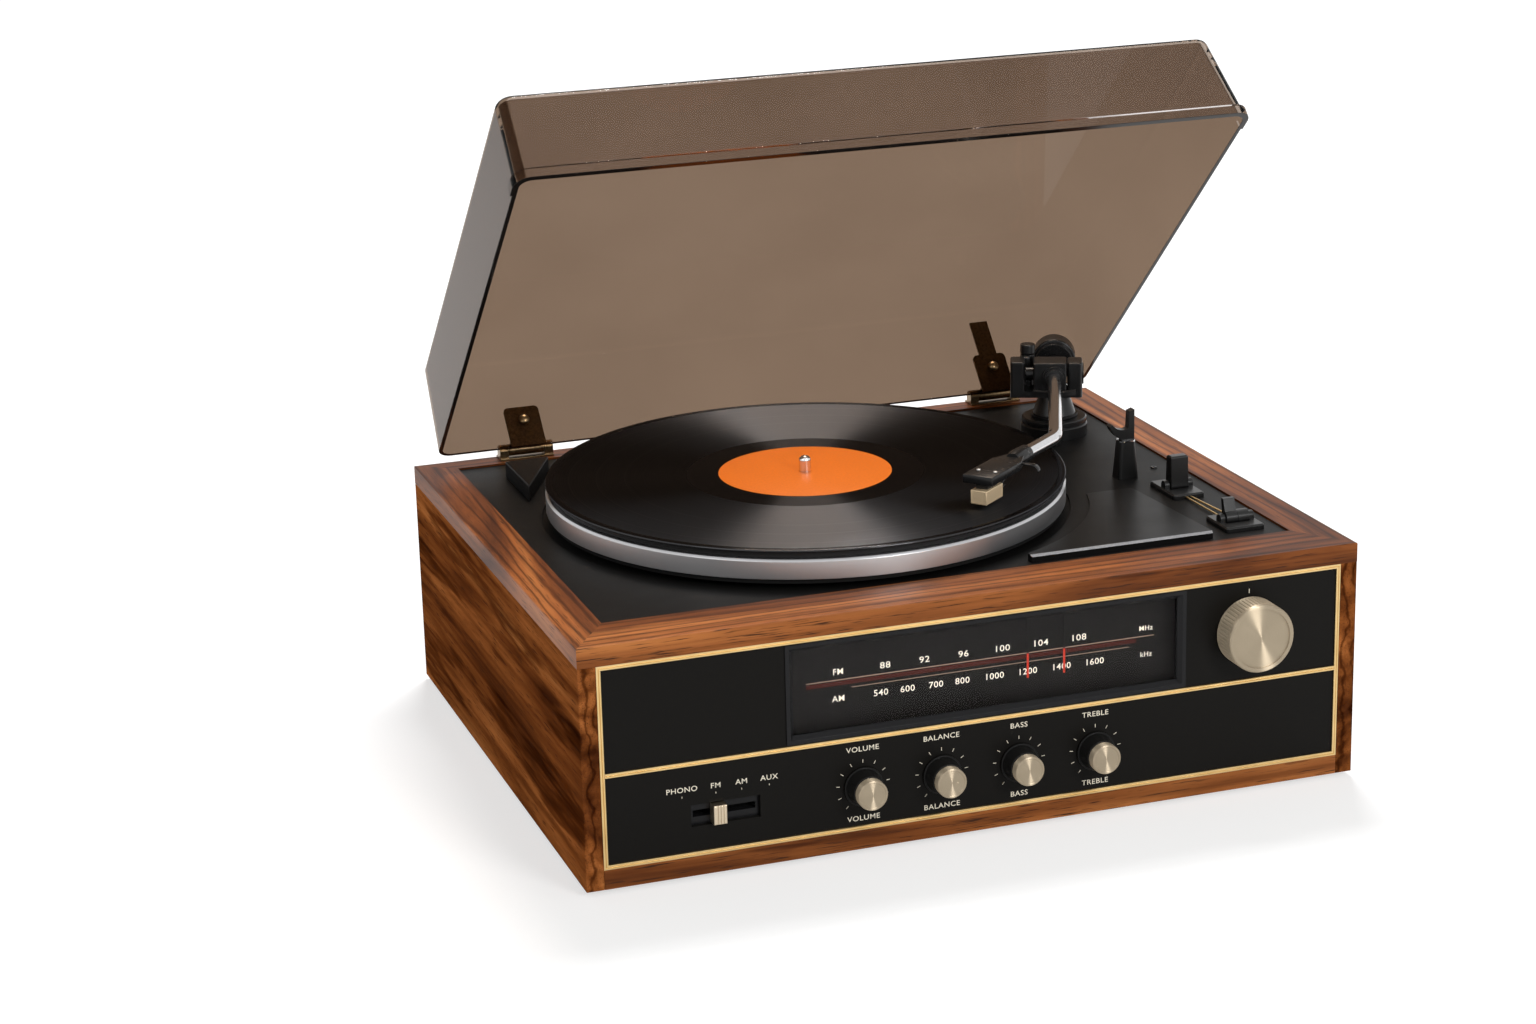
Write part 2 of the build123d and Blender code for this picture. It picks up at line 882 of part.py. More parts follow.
slider_back = panel_back - slider_back_gap
with BuildPart() as selector_slider:
    with BuildSketch(Plane.XZ.offset(-slider_back)):
        with Locations((slider_x, slot_z)):
            Rectangle(slider_width, slider_height)
    extrude(amount=slider_back - panel_front + slider_proud)
    fillet(selector_slider.edges().group_by(Axis.Y)[0], radius=slider_edge)
    with BuildSketch(Plane.XZ.offset(-(panel_front - slider_proud))):
        with Locations((slider_x, slot_z)):
            with GridLocations(slider_groove_pitch, 0, slider_groove_count, 1):
                Rectangle(slider_groove_width, 2 * slider_height)
    extrude(amount=-slider_groove_depth, mode=Mode.SUBTRACT)
    with BuildSketch(Plane.XZ.offset(-slider_back)):
        with Locations((slider_x, slot_z)):
            Rectangle(stem_size, stem_size)
    extrude(amount=-stem_length)
selector_slider.part.label = "selector_slider"
export_step(selector_slider.part, "parts/selector_slider.step")

slot_travel = slot_right - slot_left - slider_width
with BuildPart() as selector_switch:
    with BuildSketch(Plane.XZ.offset(-(panel_back + switch_depth))):
        with Locations((slot_x, slot_z)):
            Rectangle(slot_right - slot_left + 2 * switch_margin_x,
                      slot_top - slot_bottom + 2 * switch_margin_z)
    extrude(amount=switch_depth)
    with BuildSketch(Plane.XZ.offset(-panel_back)):
        with Locations((slot_x, slot_z)):
            Rectangle(slot_travel + stem_size + 2 * stem_clearance, stem_size + 2 * stem_clearance)
    extrude(amount=-(stem_length - slider_back_gap + stem_end_gap), mode=Mode.SUBTRACT)
selector_switch.part.label = "selector_switch"
export_step(selector_switch.part, "parts/selector_switch.step")

# Deck plate with its shallow well for the turntable

motor_x = platter_x + motor_distance * cos(radians(motor_angle))
motor_y = platter_y + motor_distance * sin(radians(motor_angle))
lift_x = arm_x + lift_distance * cos(radians(arm_heading))
lift_y = arm_y + lift_distance * sin(radians(arm_heading))

with BuildPart() as deck_plate:
    with BuildSketch(Plane.XY.offset(plate_bottom_z)):
        with Locations((0, plate_y)):
            Rectangle(plate_width, plate_depth)
        with Locations((platter_x, platter_y)):
            Circle(bearing_radius + bearing_hole_gap, mode=Mode.SUBTRACT)
        with Locations((motor_x, motor_y)):
            Circle(pulley_radius + pulley_hole_gap, mode=Mode.SUBTRACT)
        with Locations((arm_x, arm_y)):
            Circle(arm_spindle_radius + pin_hole_gap, mode=Mode.SUBTRACT)
        with Locations((lift_x, lift_y)):
            Circle(lift_pin_radius + pin_hole_gap, mode=Mode.SUBTRACT)
    extrude(amount=plate_thickness)
    with BuildSketch(Plane.XY.offset(deck_z)):
        with Locations((platter_x, platter_y)):
            Circle(well_radius)
    extrude(amount=-well_depth, mode=Mode.SUBTRACT)
deck_plate.part.label = "deck_plate"
export_step(deck_plate.part, "parts/deck_plate.step")

# Turntable: platter, mat, record and spindle

rim_bottom_z = deck_z + platter_lift
rim_top_z = rim_bottom_z + platter_rim_height
web_z = rim_top_z - platter_web
mat_top_z = rim_top_z + mat_thickness
record_top_z = mat_top_z + record_thickness
turn_plane = Plane(origin=(platter_x, platter_y, 0), x_dir=(1, 0, 0), z_dir=(0, -1, 0))
turn_axis = Axis((platter_x, platter_y, 0), (0, 0, 1))

rim_inner = platter_radius - platter_rim_width
with BuildPart() as platter:
    with BuildSketch(turn_plane):
        with BuildLine():
            Polyline((spindle_radius, rim_top_z), (platter_radius - platter_edge, rim_top_z),
                     (platter_radius, rim_top_z - platter_edge), (platter_radius, rim_bottom_z),
                     (rim_inner, rim_bottom_z), (rim_inner - platter_flare, web_z),
                     (spindle_radius, web_z), close=True)
        make_face()
    revolve(axis=turn_axis)
    with BuildSketch(Plane.XY.offset(rim_bottom_z - ring_height)):
        with Locations((platter_x, platter_y)):
            Circle(platter_radius - ring_inset)
            Circle(platter_radius - ring_inset - ring_width, mode=Mode.SUBTRACT)
    extrude(amount=ring_height)
platter.part.label = "platter"
export_step(platter.part, "parts/platter.step")

sub_bottom_z = web_z - sub_height
hub_bottom_z = sub_bottom_z + sub_hub_rise
with BuildPart() as sub_platter:
    with BuildSketch(turn_plane):
        with BuildLine():
            Polyline((spindle_radius, web_z), (sub_radius, web_z), (sub_radius, sub_bottom_z),
                     (sub_radius - sub_rim, sub_bottom_z), (sub_radius - sub_rim, web_z - sub_web),
                     (sub_hub_radius, web_z - sub_web), (sub_hub_radius, hub_bottom_z),
                     (spindle_radius, hub_bottom_z), close=True)
        make_face()
    revolve(axis=turn_axis)
sub_platter.part.label = "sub_platter"
export_step(sub_platter.part, "parts/sub_platter.step")

with BuildPart() as slip_mat:
    with BuildSketch(Plane.XY.offset(rim_top_z)):
        with Locations((platter_x, platter_y)):
            Circle(platter_radius - mat_inset)
            Circle(record_hole_radius, mode=Mode.SUBTRACT)
    extrude(amount=mat_thickness)
slip_mat.part.label = "slip_mat"
export_step(slip_mat.part, "parts/slip_mat.step")

bead_inner = record_radius - record_edge - bead_width
label_seat_z = record_top_z - label_thickness
groove_inner = label_radius + label_bead + label_bead_slope
with BuildPart() as record_disc:
    with BuildSketch(turn_plane):
        with BuildLine():
            Polyline((record_hole_radius, mat_top_z), (record_radius - record_edge, mat_top_z),
                     (record_radius, mat_top_z + record_edge), (record_radius, record_top_z - record_edge),
                     (record_radius - record_edge, record_top_z), (bead_inner, record_top_z),
                     (bead_inner - bead_slope, record_top_z - groove_drop),
                     (groove_inner, record_top_z - groove_drop), (label_radius + label_bead, label_seat_z),
                     (record_hole_radius, label_seat_z), close=True)
        make_face()
    revolve(axis=turn_axis)
record_disc.part.label = "record_disc"
export_step(record_disc.part, "parts/record_disc.step")

with BuildPart() as record_label:
    with BuildSketch(Plane.XY.offset(label_seat_z)):
        with Locations((platter_x, platter_y)):
            Circle(label_radius)
            Circle(record_hole_radius, mode=Mode.SUBTRACT)
    extrude(amount=label_thickness)
record_label.part.label = "record_label"
export_step(record_label.part, "parts/record_label.step")

bore_bottom_z = plate_bottom_z - bearing_depth
spindle_bottom_z = bore_bottom_z + thrust_gap
spindle_top_z = record_top_z + spindle_above_record
taper_top_z = record_top_z + spindle_taper_proud
with BuildPart() as spindle:
    with BuildSketch(turn_plane):
        with BuildLine():
            Polyline((0, spindle_bottom_z), (spindle_radius, spindle_bottom_z),
                     (spindle_radius, taper_top_z - spindle_taper), (spindle_tip_radius, taper_top_z),
                     (spindle_tip_radius, spindle_top_z), (0, spindle_top_z), close=True)
        make_face()
    revolve(axis=turn_axis)
    fillet(spindle.edges().group_by(Axis.Z)[-1], radius=spindle_dome)
spindle.part.label = "spindle"
export_step(spindle.part, "parts/spindle.step")

bearing_top_z = deck_z - well_depth
with BuildPart() as bearing_housing:
    with BuildSketch(Plane.XY.offset(bore_bottom_z - bearing_floor)):
        with Locations((platter_x, platter_y)):
            Circle(bearing_radius)
    extrude(amount=bearing_top_z - bore_bottom_z + bearing_floor)
    with BuildSketch(Plane.XY.offset(plate_bottom_z - bearing_flange)):
        with Locations((platter_x, platter_y)):
            Circle(bearing_flange_radius)
    extrude(amount=bearing_flange)
    with BuildSketch(Plane.XY.offset(bore_bottom_z)):
        with Locations((platter_x, platter_y)):
            Circle(spindle_radius + running_clearance)
    extrude(amount=bearing_top_z - bore_bottom_z, mode=Mode.SUBTRACT)
bearing_housing.part.label = "bearing_housing"
export_step(bearing_housing.part, "parts/bearing_housing.step")

# Motor, pulley and belt

pulley_top_z = web_z - pulley_drop
pulley_bottom_z = pulley_top_z - pulley_height
pulley_mid_z = (pulley_top_z + pulley_bottom_z) / 2
motor_top_z = plate_bottom_z - grommet_height - motor_flange
shaft_bottom_z = motor_top_z - motor_length / 2
motor_plane = Plane(origin=(motor_x, motor_y, 0), x_dir=(1, 0, 0), z_dir=(0, -1, 0))
motor_axis = Axis((motor_x, motor_y, 0), (0, 0, 1))

with BuildPart() as motor_pulley:
    with BuildSketch(motor_plane):
        with BuildLine():
            Polyline((0, shaft_bottom_z), (motor_shaft_radius, shaft_bottom_z),
                     (motor_shaft_radius, pulley_bottom_z), (pulley_radius - pulley_crown, pulley_bottom_z),
                     (pulley_radius, pulley_mid_z), (pulley_radius - pulley_crown, pulley_top_z),
                     (0, pulley_top_z), close=True)
        make_face()
    revolve(axis=motor_axis)
motor_pulley.part.label = "motor_pulley"
export_step(motor_pulley.part, "parts/motor_pulley.step")

with BuildPart() as motor:
    with BuildSketch(Plane.XY.offset(motor_top_z - motor_length)):
        with Locations((motor_x, motor_y)):
            Circle(motor_radius)
    extrude(amount=motor_length)
    fillet(motor.edges().group_by(Axis.Z)[0], radius=motor_edge)
    with BuildSketch(Plane.XY.offset(motor_top_z)):
        with Locations((motor_x, motor_y)):
            Circle(motor_flange_radius)
    extrude(amount=motor_flange)
    with BuildSketch(Plane.XY.offset(motor_top_z + motor_flange)):
        with Locations((motor_x, motor_y)):
            with PolarLocations(motor_flange_radius - grommet_radius - grommet_inset, grommet_count):
                Circle(grommet_radius)
    extrude(amount=grommet_height)
    with BuildSketch(Plane.XY.offset(shaft_bottom_z - motor_shaft_gap)):
        with Locations((motor_x, motor_y)):
            Circle(motor_shaft_radius + running_clearance)
    extrude(amount=motor_length, mode=Mode.SUBTRACT)
motor.part.label = "motor"
export_step(motor.part, "parts/motor.step")

with BuildPart() as drive_belt:
    with BuildSketch(Plane.XY.offset(pulley_mid_z - belt_width / 2)):
        with Locations((platter_x, platter_y)):
            Circle(sub_radius + belt_gap + belt_thickness)
        with Locations((motor_x, motor_y)):
            Circle(pulley_radius + belt_gap + belt_thickness)
        make_hull()
        offset(amount=-belt_thickness, kind=Kind.ARC, mode=Mode.SUBTRACT)
    extrude(amount=belt_width)
drive_belt.part.label = "drive_belt"
export_step(drive_belt.part, "parts/drive_belt.step")

# Tonearm on its base. Its own X runs along the tube and its own Y across it, to the right.

arm_z = top_z + arm_height
arm_plane = Plane(origin=(arm_x, arm_y, arm_z),
                  x_dir=(cos(radians(arm_heading)), sin(radians(arm_heading)), 0), z_dir=(0, 0, 1))
gimbal_plane = Plane(origin=(arm_x, arm_y, arm_z), x_dir=arm_plane.x_dir, z_dir=arm_plane.y_dir)
block_plane = Plane(origin=(arm_x, arm_y, arm_z), x_dir=arm_plane.y_dir, z_dir=arm_plane.x_dir)

arm_base_rings = ((arm_base_radius, arm_base_height), (arm_groove_radius, arm_groove_height),
                  (arm_flange_radius, arm_flange_height))
with BuildPart() as arm_base:
    arm_base_top_z = deck_z
    for radius, height in arm_base_rings:
        with BuildSketch(Plane.XY.offset(arm_base_top_z)):
            with Locations((arm_x, arm_y)):
                Circle(radius)
        extrude(amount=height)
        arm_base_top_z += height
        if radius > arm_groove_radius:
            chamfer(arm_base.edges().group_by(Axis.Z)[-1], length=arm_base_chamfer)
    with BuildSketch(Plane.XY.offset(deck_z)):
        with Locations((lift_x, lift_y)):
            Circle(lift_guide_radius)
    extrude(amount=lift_guide_height)
    with BuildSketch(arm_plane.offset(deck_z - arm_z)):
        with Locations(((arm_groove_radius + lift_distance) / 2, 0)):
            Rectangle(lift_distance - arm_groove_radius, lift_arm_width)
    extrude(amount=lift_arm_height)
    with BuildSketch(Plane.XY.offset(deck_z)):
        with Locations((arm_x, arm_y)):
            Circle(arm_spindle_radius + running_clearance)
        with Locations((lift_x, lift_y)):
            Circle(lift_pin_radius + running_clearance)
    extrude(amount=arm_base_top_z - deck_z + lift_guide_height, mode=Mode.SUBTRACT)
arm_base.part.label = "arm_base"
export_step(arm_base.part, "parts/arm_base.step")

turret_z = arm_base_top_z + turret_gap
yoke_floor_z = arm_z - block_half_height - yoke_gap - yoke_floor
yoke_plane = arm_plane.offset(yoke_floor_z - arm_z)
cheek_left_width = cheek_left_outer - cheek_left_inner
cheek_right_width = cheek_right_outer - cheek_right_inner
cheek_left_y = -(cheek_left_outer + cheek_left_inner) / 2
cheek_right_y = (cheek_right_outer + cheek_right_inner) / 2
skate_place = (-skate_back, -skate_side)
tail_outer = skate_side + skate_radius
pin_reach = gimbal_pin_depth + gimbal_pin_gap
with BuildPart() as arm_yoke:
    with BuildSketch(Plane.XY.offset(turret_z)):
        with Locations((arm_x, arm_y)):
            Circle(turret_radius)
    extrude(amount=turret_height)
    with BuildSketch(Plane.XY.offset(turret_z + turret_height)):
        with Locations((arm_x, arm_y)):
            Circle(turret_radius - turret_step)
    with BuildSketch(Plane.XY.offset(yoke_floor_z)):
        with Locations((arm_x, arm_y)):
            Circle(neck_radius)
    loft()
    with BuildSketch(yoke_plane):
        with Locations((0, (cheek_right_outer - cheek_left_outer) / 2)):
            Rectangle(2 * yoke_half_length, cheek_left_outer + cheek_right_outer - 2 * cheek_round)
    extrude(amount=yoke_floor)
    with BuildSketch(yoke_plane):
        with Locations((0, cheek_right_y)):
            RectangleRounded(2 * yoke_half_length, cheek_right_width, cheek_round)
    extrude(amount=arm_z + block_half_height - yoke_floor_z)
    fillet(arm_yoke.edges().group_by(Axis.Z)[-1], radius=cheek_round / 2)
    with BuildSketch(yoke_plane):
        with Locations((0, cheek_left_y)):
            RectangleRounded(2 * yoke_half_length, cheek_left_width, cheek_round)
        with Locations((-(skate_back + tail_front) / 2, -(tail_outer + tail_inner) / 2)):
            Rectangle(skate_back - tail_front, tail_outer - tail_inner)
        with Locations(skate_place):
            Circle(skate_radius)
    extrude(amount=arm_z + cheek_rise - yoke_floor_z)
    fillet(arm_yoke.edges().group_by(Axis.Z)[-1], radius=cheek_round / 2)
    with BuildSketch(gimbal_plane.offset(cheek_right_outer)):
        Circle(bearing_cap_radius)
    extrude(amount=bearing_cap_height)
    with BuildSketch(Plane.XY.offset(plate_bottom_z - arm_spindle_depth)):
        with Locations((arm_x, arm_y)):
            Circle(arm_spindle_radius)
    extrude(amount=turret_z - plate_bottom_z + arm_spindle_depth)
    with BuildSketch(gimbal_plane.offset(-cheek_left_inner - pin_reach)):
        Circle(gimbal_pin_radius + running_clearance)
    extrude(amount=cheek_left_inner + cheek_right_inner + 2 * pin_reach, mode=Mode.SUBTRACT)
    with BuildSketch(arm_plane.offset(cheek_rise)):
        with Locations(skate_place):
            Circle(skate_pin_radius + running_clearance)
    extrude(amount=-(skate_pin_length + skate_pin_gap), mode=Mode.SUBTRACT)
arm_yoke.part.label = "arm_yoke"
export_step(arm_yoke.part, "parts/arm_yoke.step")

collar_end = block_half_length + 2 * collar_length
with BuildPart() as arm_block:
    with BuildSketch(arm_plane.offset(-block_half_height)):
        with Locations((0, (block_right - block_left) / 2)):
            RectangleRounded(2 * block_half_length, block_left + block_right, block_round)
    extrude(amount=2 * block_half_height)
    fillet(arm_block.edges().group_by(Axis.Z)[-1], radius=block_round / 2)
    with BuildSketch(block_plane.offset(block_half_length)):
        Circle(collar_radius)
    extrude(amount=collar_length)
    with BuildSketch(block_plane.offset(block_half_length + collar_length)):
        Circle(collar_step_radius)
    extrude(amount=collar_length)
    with BuildSketch(block_plane.offset(-rear_shaft_length)):
        Circle(rear_shaft_radius)
    extrude(amount=rear_shaft_length - block_half_length)
    with BuildSketch(gimbal_plane.offset(-block_left - gimbal_boss_length)):
        Circle(gimbal_boss_radius)
    extrude(amount=gimbal_boss_length + block_round)
    with BuildSketch(gimbal_plane.offset(-cheek_left_inner - gimbal_pin_depth)):
        Circle(gimbal_pin_radius)
    extrude(amount=cheek_left_inner + cheek_right_inner + 2 * gimbal_pin_depth)
    with BuildSketch(block_plane.offset(tube_start)):
        Circle(tube_radius)
    extrude(amount=collar_end - tube_start, mode=Mode.SUBTRACT)
arm_block.part.label = "arm_block"
export_step(arm_block.part, "parts/arm_block.step")

offset_cos = cos(radians(tube_offset_angle))
offset_sin = sin(radians(tube_offset_angle))


def beyond_bend(distance):
    """A point on the tonearm's offset line, as far past the bend's corner as asked."""
    return (tube_straight + distance * offset_cos, -distance * offset_sin)


with BuildPart() as arm_tube:
    with BuildLine(arm_plane):
        FilletPolyline((tube_start, 0), (tube_straight, 0), beyond_bend(tube_offset_length),
                       radius=tube_bend_radius)
    with BuildSketch(block_plane.offset(tube_start)):
        Circle(tube_radius)
        Circle(tube_radius - tube_wall, mode=Mode.SUBTRACT)
    sweep()
arm_tube.part.label = "arm_tube"
export_step(arm_tube.part, "parts/arm_tube.step")

# Headshell and cartridge, on the offset line: X along it from the bend's corner, Y to the right

shell_start = tube_offset_length + shell_collar_length
shell_back = shell_start - shell_overlap
shell_end = shell_start + shell_length
shell_heading = arm_heading - tube_offset_angle
bend_point = arm_plane.from_local_coords(Vector(tube_straight, 0, 0))
shell_dir = (cos(radians(shell_heading)), sin(radians(shell_heading)), 0)
shell_plane = Plane(origin=bend_point, x_dir=shell_dir, z_dir=(0, 0, 1))
shell_axis_plane = Plane(origin=bend_point, x_dir=shell_plane.y_dir, z_dir=shell_dir)
half_rear = shell_rear_width / 2
half_front = shell_front_width / 2
hollow_back = shell_start + shell_hollow_start
hollow_front = shell_end - shell_corner - shell_wall / 2
tab_root = shell_start - 2 * lift_tab_width
with BuildPart() as headshell:
    with BuildSketch(shell_axis_plane.offset(tube_offset_length)):
        Circle(shell_collar_radius)
    extrude(amount=shell_collar_length)
    with BuildSketch(shell_plane.offset(-shell_thickness / 2)):
        with BuildLine():
            Polyline((shell_back, -half_rear), (shell_end - shell_corner, -half_front),
                     (shell_end, -half_front + shell_corner), (shell_end - shell_slant, half_front),
                     (shell_back, half_rear), close=True)
        make_face()
    extrude(amount=shell_thickness)
    with BuildSketch(shell_plane.offset(-shell_thickness / 2)):
        with BuildLine():
            Polyline((hollow_back, -half_rear), (hollow_front, -half_front + shell_wall),
                     (hollow_front - shell_slant / 2, half_front - shell_wall), (hollow_back, half_rear),
                     close=True)
        make_face()
    extrude(amount=shell_hollow_depth, mode=Mode.SUBTRACT)
    with BuildSketch(shell_plane.offset(-lift_tab_thickness / 2)):
        with BuildLine():
            ThreePointArc((tab_root, half_rear - lift_tab_thickness),
                          (tab_root + lift_tab_bow, (half_rear + lift_tab_reach) / 2),
                          (tab_root - lift_tab_thickness, lift_tab_reach))
            Line((tab_root - lift_tab_thickness, lift_tab_reach),
                 (tab_root - 2 * lift_tab_thickness, lift_tab_reach - lift_tab_thickness))
            ThreePointArc((tab_root - 2 * lift_tab_thickness, lift_tab_reach - lift_tab_thickness),
                          (tab_root + lift_tab_bow - lift_tab_width, (half_rear + lift_tab_reach) / 2),
                          (tab_root - lift_tab_width, half_rear - lift_tab_thickness))
            Line((tab_root - lift_tab_width, half_rear - lift_tab_thickness),
                 (tab_root, half_rear - lift_tab_thickness))
        make_face()
    extrude(amount=lift_tab_thickness)
headshell.part.label = "headshell"
export_step(headshell.part, "parts/headshell.step")

record_drop = record_top_z - arm_z
cartridge_top = shell_hollow_depth - shell_thickness / 2
cartridge_bottom = record_drop + cartridge_drop
neck_bottom = cartridge_bottom + cartridge_height
cartridge_mid = shell_end - cartridge_length / 2 - cartridge_setback
stylus_x = cartridge_mid + cartridge_length / 2 - stylus_setback
stylus_top = record_drop + stylus_gap + stylus_height
with BuildPart() as cartridge:
    with BuildSketch(shell_plane.offset(cartridge_bottom)):
        with Locations((cartridge_mid, 0)):
            Rectangle(cartridge_length, cartridge_width)
    extrude(amount=cartridge_height)
    chamfer(cartridge.edges().group_by(Axis.Z)[0], length=cartridge_edge)
    with BuildSketch(shell_plane.offset(neck_bottom)):
        with Locations((cartridge_mid - cartridge_setback, 0)):
            Rectangle(cartridge_neck_length, cartridge_neck_width)
    extrude(amount=cartridge_top - neck_bottom)
    with BuildSketch(shell_plane.offset(stylus_top)):
        with Locations((stylus_x - cantilever_length / 2 + cantilever_width / 2, 0)):
            Rectangle(cantilever_length, cantilever_width)
    extrude(amount=cartridge_bottom - stylus_top)
    with BuildSketch(shell_plane.offset(stylus_top - stylus_height)):
        with Locations((stylus_x, 0)):
            Circle(stylus_tip_radius)
    with BuildSketch(shell_plane.offset(stylus_top)):
        with Locations((stylus_x, 0)):
            Circle(cantilever_width / 2)
    loft()
cartridge.part.label = "cartridge"
export_step(cartridge.part, "parts/cartridge.step")

drum_start = weight_start + weight_ring_length
with BuildPart() as counterweight:
    with BuildSketch(block_plane.offset(-weight_start - weight_length)):
        Circle(weight_radius)
    extrude(amount=weight_length - weight_ring_length)
    fillet(counterweight.edges().filter_by(GeomType.CIRCLE), radius=weight_edge)
    with BuildSketch(block_plane.offset(-drum_start)):
        Circle(weight_ring_radius)
    extrude(amount=weight_ring_length)
    with BuildSketch(block_plane.offset(-weight_start - weight_length)):
        Circle(rear_shaft_radius + running_clearance)
    extrude(amount=weight_length, mode=Mode.SUBTRACT)
counterweight.part.label = "counterweight"
export_step(counterweight.part, "parts/counterweight.step")

with BuildPart() as anti_skate_dial:
    with BuildSketch(arm_plane.offset(cheek_rise + skate_gap)):
        with Locations(skate_place):
            Circle(skate_radius)
    extrude(amount=skate_height)
    chamfer(anti_skate_dial.edges().group_by(Axis.Z)[-1], length=skate_edge)
    with BuildSketch(arm_plane.offset(cheek_rise + skate_gap)):
        with Locations(skate_place):
            Circle(skate_pin_radius)
    extrude(amount=-(skate_gap + skate_pin_length))
anti_skate_dial.part.label = "anti_skate_dial"
export_step(anti_skate_dial.part, "parts/anti_skate_dial.step")

lift_top = arm_z - tube_radius - lift_gap
with BuildPart() as lift_bar:
    with BuildSketch(Plane.XY.offset(plate_bottom_z - lift_pin_below)):
        with Locations((lift_x, lift_y)):
            Circle(lift_pin_radius)
    extrude(amount=lift_top - plate_bottom_z + lift_pin_below)
    with BuildSketch(Plane.XY.offset(lift_top - lift_bar_thickness)):
        with Locations((arm_x, arm_y)):
            Circle(lift_distance + lift_bar_width / 2)
            Circle(lift_distance - lift_bar_width / 2, mode=Mode.SUBTRACT)
        with Locations((lift_x, lift_y)):
            Rectangle(lift_bar_span, lift_bar_span, rotation=arm_heading, mode=Mode.INTERSECT)
    extrude(amount=lift_bar_thickness)
lift_bar.part.label = "lift_bar"
export_step(lift_bar.part, "parts/lift_bar.step")

# Arm rest: a tapered post that ends in a straight prong and a curved hook

rest_shoulder_z = top_z + rest_shoulder
prong_top = rest_top - rest_shoulder
with BuildPart() as arm_rest:
    with BuildSketch(Plane.XY.offset(deck_z)):
        with Locations((rest_x, rest_y)):
            RectangleRounded(rest_foot_x, rest_foot_y, rest_corner)
    with BuildSketch(Plane.XY.offset(rest_shoulder_z)):
        with Locations((rest_x, rest_y)):
            RectangleRounded(rest_head_x, rest_head_y, rest_corner)
    loft()
    hook_plane = Plane(origin=(rest_x, rest_y + hook_thickness / 2, rest_shoulder_z), x_dir=(1, 0, 0),
                       z_dir=(0, -1, 0))
    with BuildSketch(hook_plane):
        with BuildLine():
            Polyline((-hook_root / 2, -hook_root), (prong_right, -hook_root), (prong_right, prong_top),
                     (prong_left + hook_root / 2, prong_top - prong_slope), (prong_left, cradle_depth))
            ThreePointArc((prong_left, cradle_depth),
                          ((prong_left - hook_reach) / 2 - hook_root, cradle_depth),
                          (-hook_reach, hook_rise))
            Line((-hook_reach, hook_rise), (-hook_reach - hook_tip, hook_rise - hook_drop))
            ThreePointArc((-hook_reach - hook_tip, hook_rise - hook_drop),
                          (-hook_reach + hook_tip, cradle_depth / 2),
                          (-hook_root / 2, -hook_root))
        make_face()
    extrude(amount=hook_thickness)
arm_rest.part.label = "arm_rest"
export_step(arm_rest.part, "parts/arm_rest.step")

# Cueing and starting levers on their plates

pivot_z = deck_z + lever_plate_thickness + lever_pin_lift
ear_radius = lever_pin_radius + ear_wall
lever_spots = ((cue_x, cue_y, cue_plate_x, cue_plate_y, cue_width),
               (start_x, start_y, start_plate_x, start_plate_y, start_width))

with BuildPart() as lever_plates:
    for spot_x, spot_y, size_x, size_y, width in lever_spots:
        with BuildSketch(Plane.XY.offset(deck_z)):
            with Locations((spot_x, spot_y)):
                RectangleRounded(size_x, size_y, lever_plate_corner)
        extrude(amount=lever_plate_thickness)
    chamfer(lever_plates.edges().group_by(Axis.Z)[-1], length=lever_plate_edge)
    for spot_x, spot_y, size_x, size_y, width in lever_spots:
        half_span = width / 2 + ear_gap + ear_thickness
        with BuildSketch(Plane.YZ.offset(spot_x - half_span)):
            with Locations((spot_y, pivot_z)):
                Circle(ear_radius)
            with Locations((spot_y, (deck_z + pivot_z) / 2)):
                Rectangle(2 * ear_radius, pivot_z - deck_z)
        extrude(amount=2 * half_span)
        with BuildSketch(Plane.XY.offset(deck_z)):
            with Locations((spot_x, spot_y)):
                Rectangle(width + 2 * ear_gap, 2 * (boss_radius + lever_slot_gap))
        extrude(amount=3 * lever_plate_thickness, mode=Mode.SUBTRACT)
        with BuildSketch(Plane.YZ.offset(spot_x - size_x)):
            with Locations((spot_y, pivot_z)):
                Circle(lever_pin_radius + running_clearance)
        extrude(amount=2 * size_x, mode=Mode.SUBTRACT)
lever_plates.part.label = "lever_plates"
export_step(lever_plates.part, "parts/lever_plates.step")

cue_top = cue_y + boss_radius - cue_taper
cue_pin_length = cue_width + 2 * ear_gap + 2 * ear_thickness
with BuildPart() as cue_lever:
    with BuildSketch(Plane.YZ.offset(cue_x - cue_width / 2)):
        with Locations((cue_y, pivot_z)):
            Circle(boss_radius)
        with BuildLine():
            Polyline((cue_y - boss_radius, pivot_z), (cue_y + boss_radius, pivot_z),
                     (cue_top, pivot_z + cue_height), (2 * cue_y - cue_top, pivot_z + cue_height), close=True)
        make_face()
    extrude(amount=cue_width)
    chamfer(cue_lever.edges().group_by(Axis.Z)[-1], length=cue_edge)
    with BuildSketch(Plane.YZ.offset(cue_x - cue_pin_length / 2)):
        with Locations((cue_y, pivot_z)):
            Circle(lever_pin_radius)
    extrude(amount=cue_pin_length)
cue_lever.part.label = "cue_lever"
export_step(cue_lever.part, "parts/cue_lever.step")

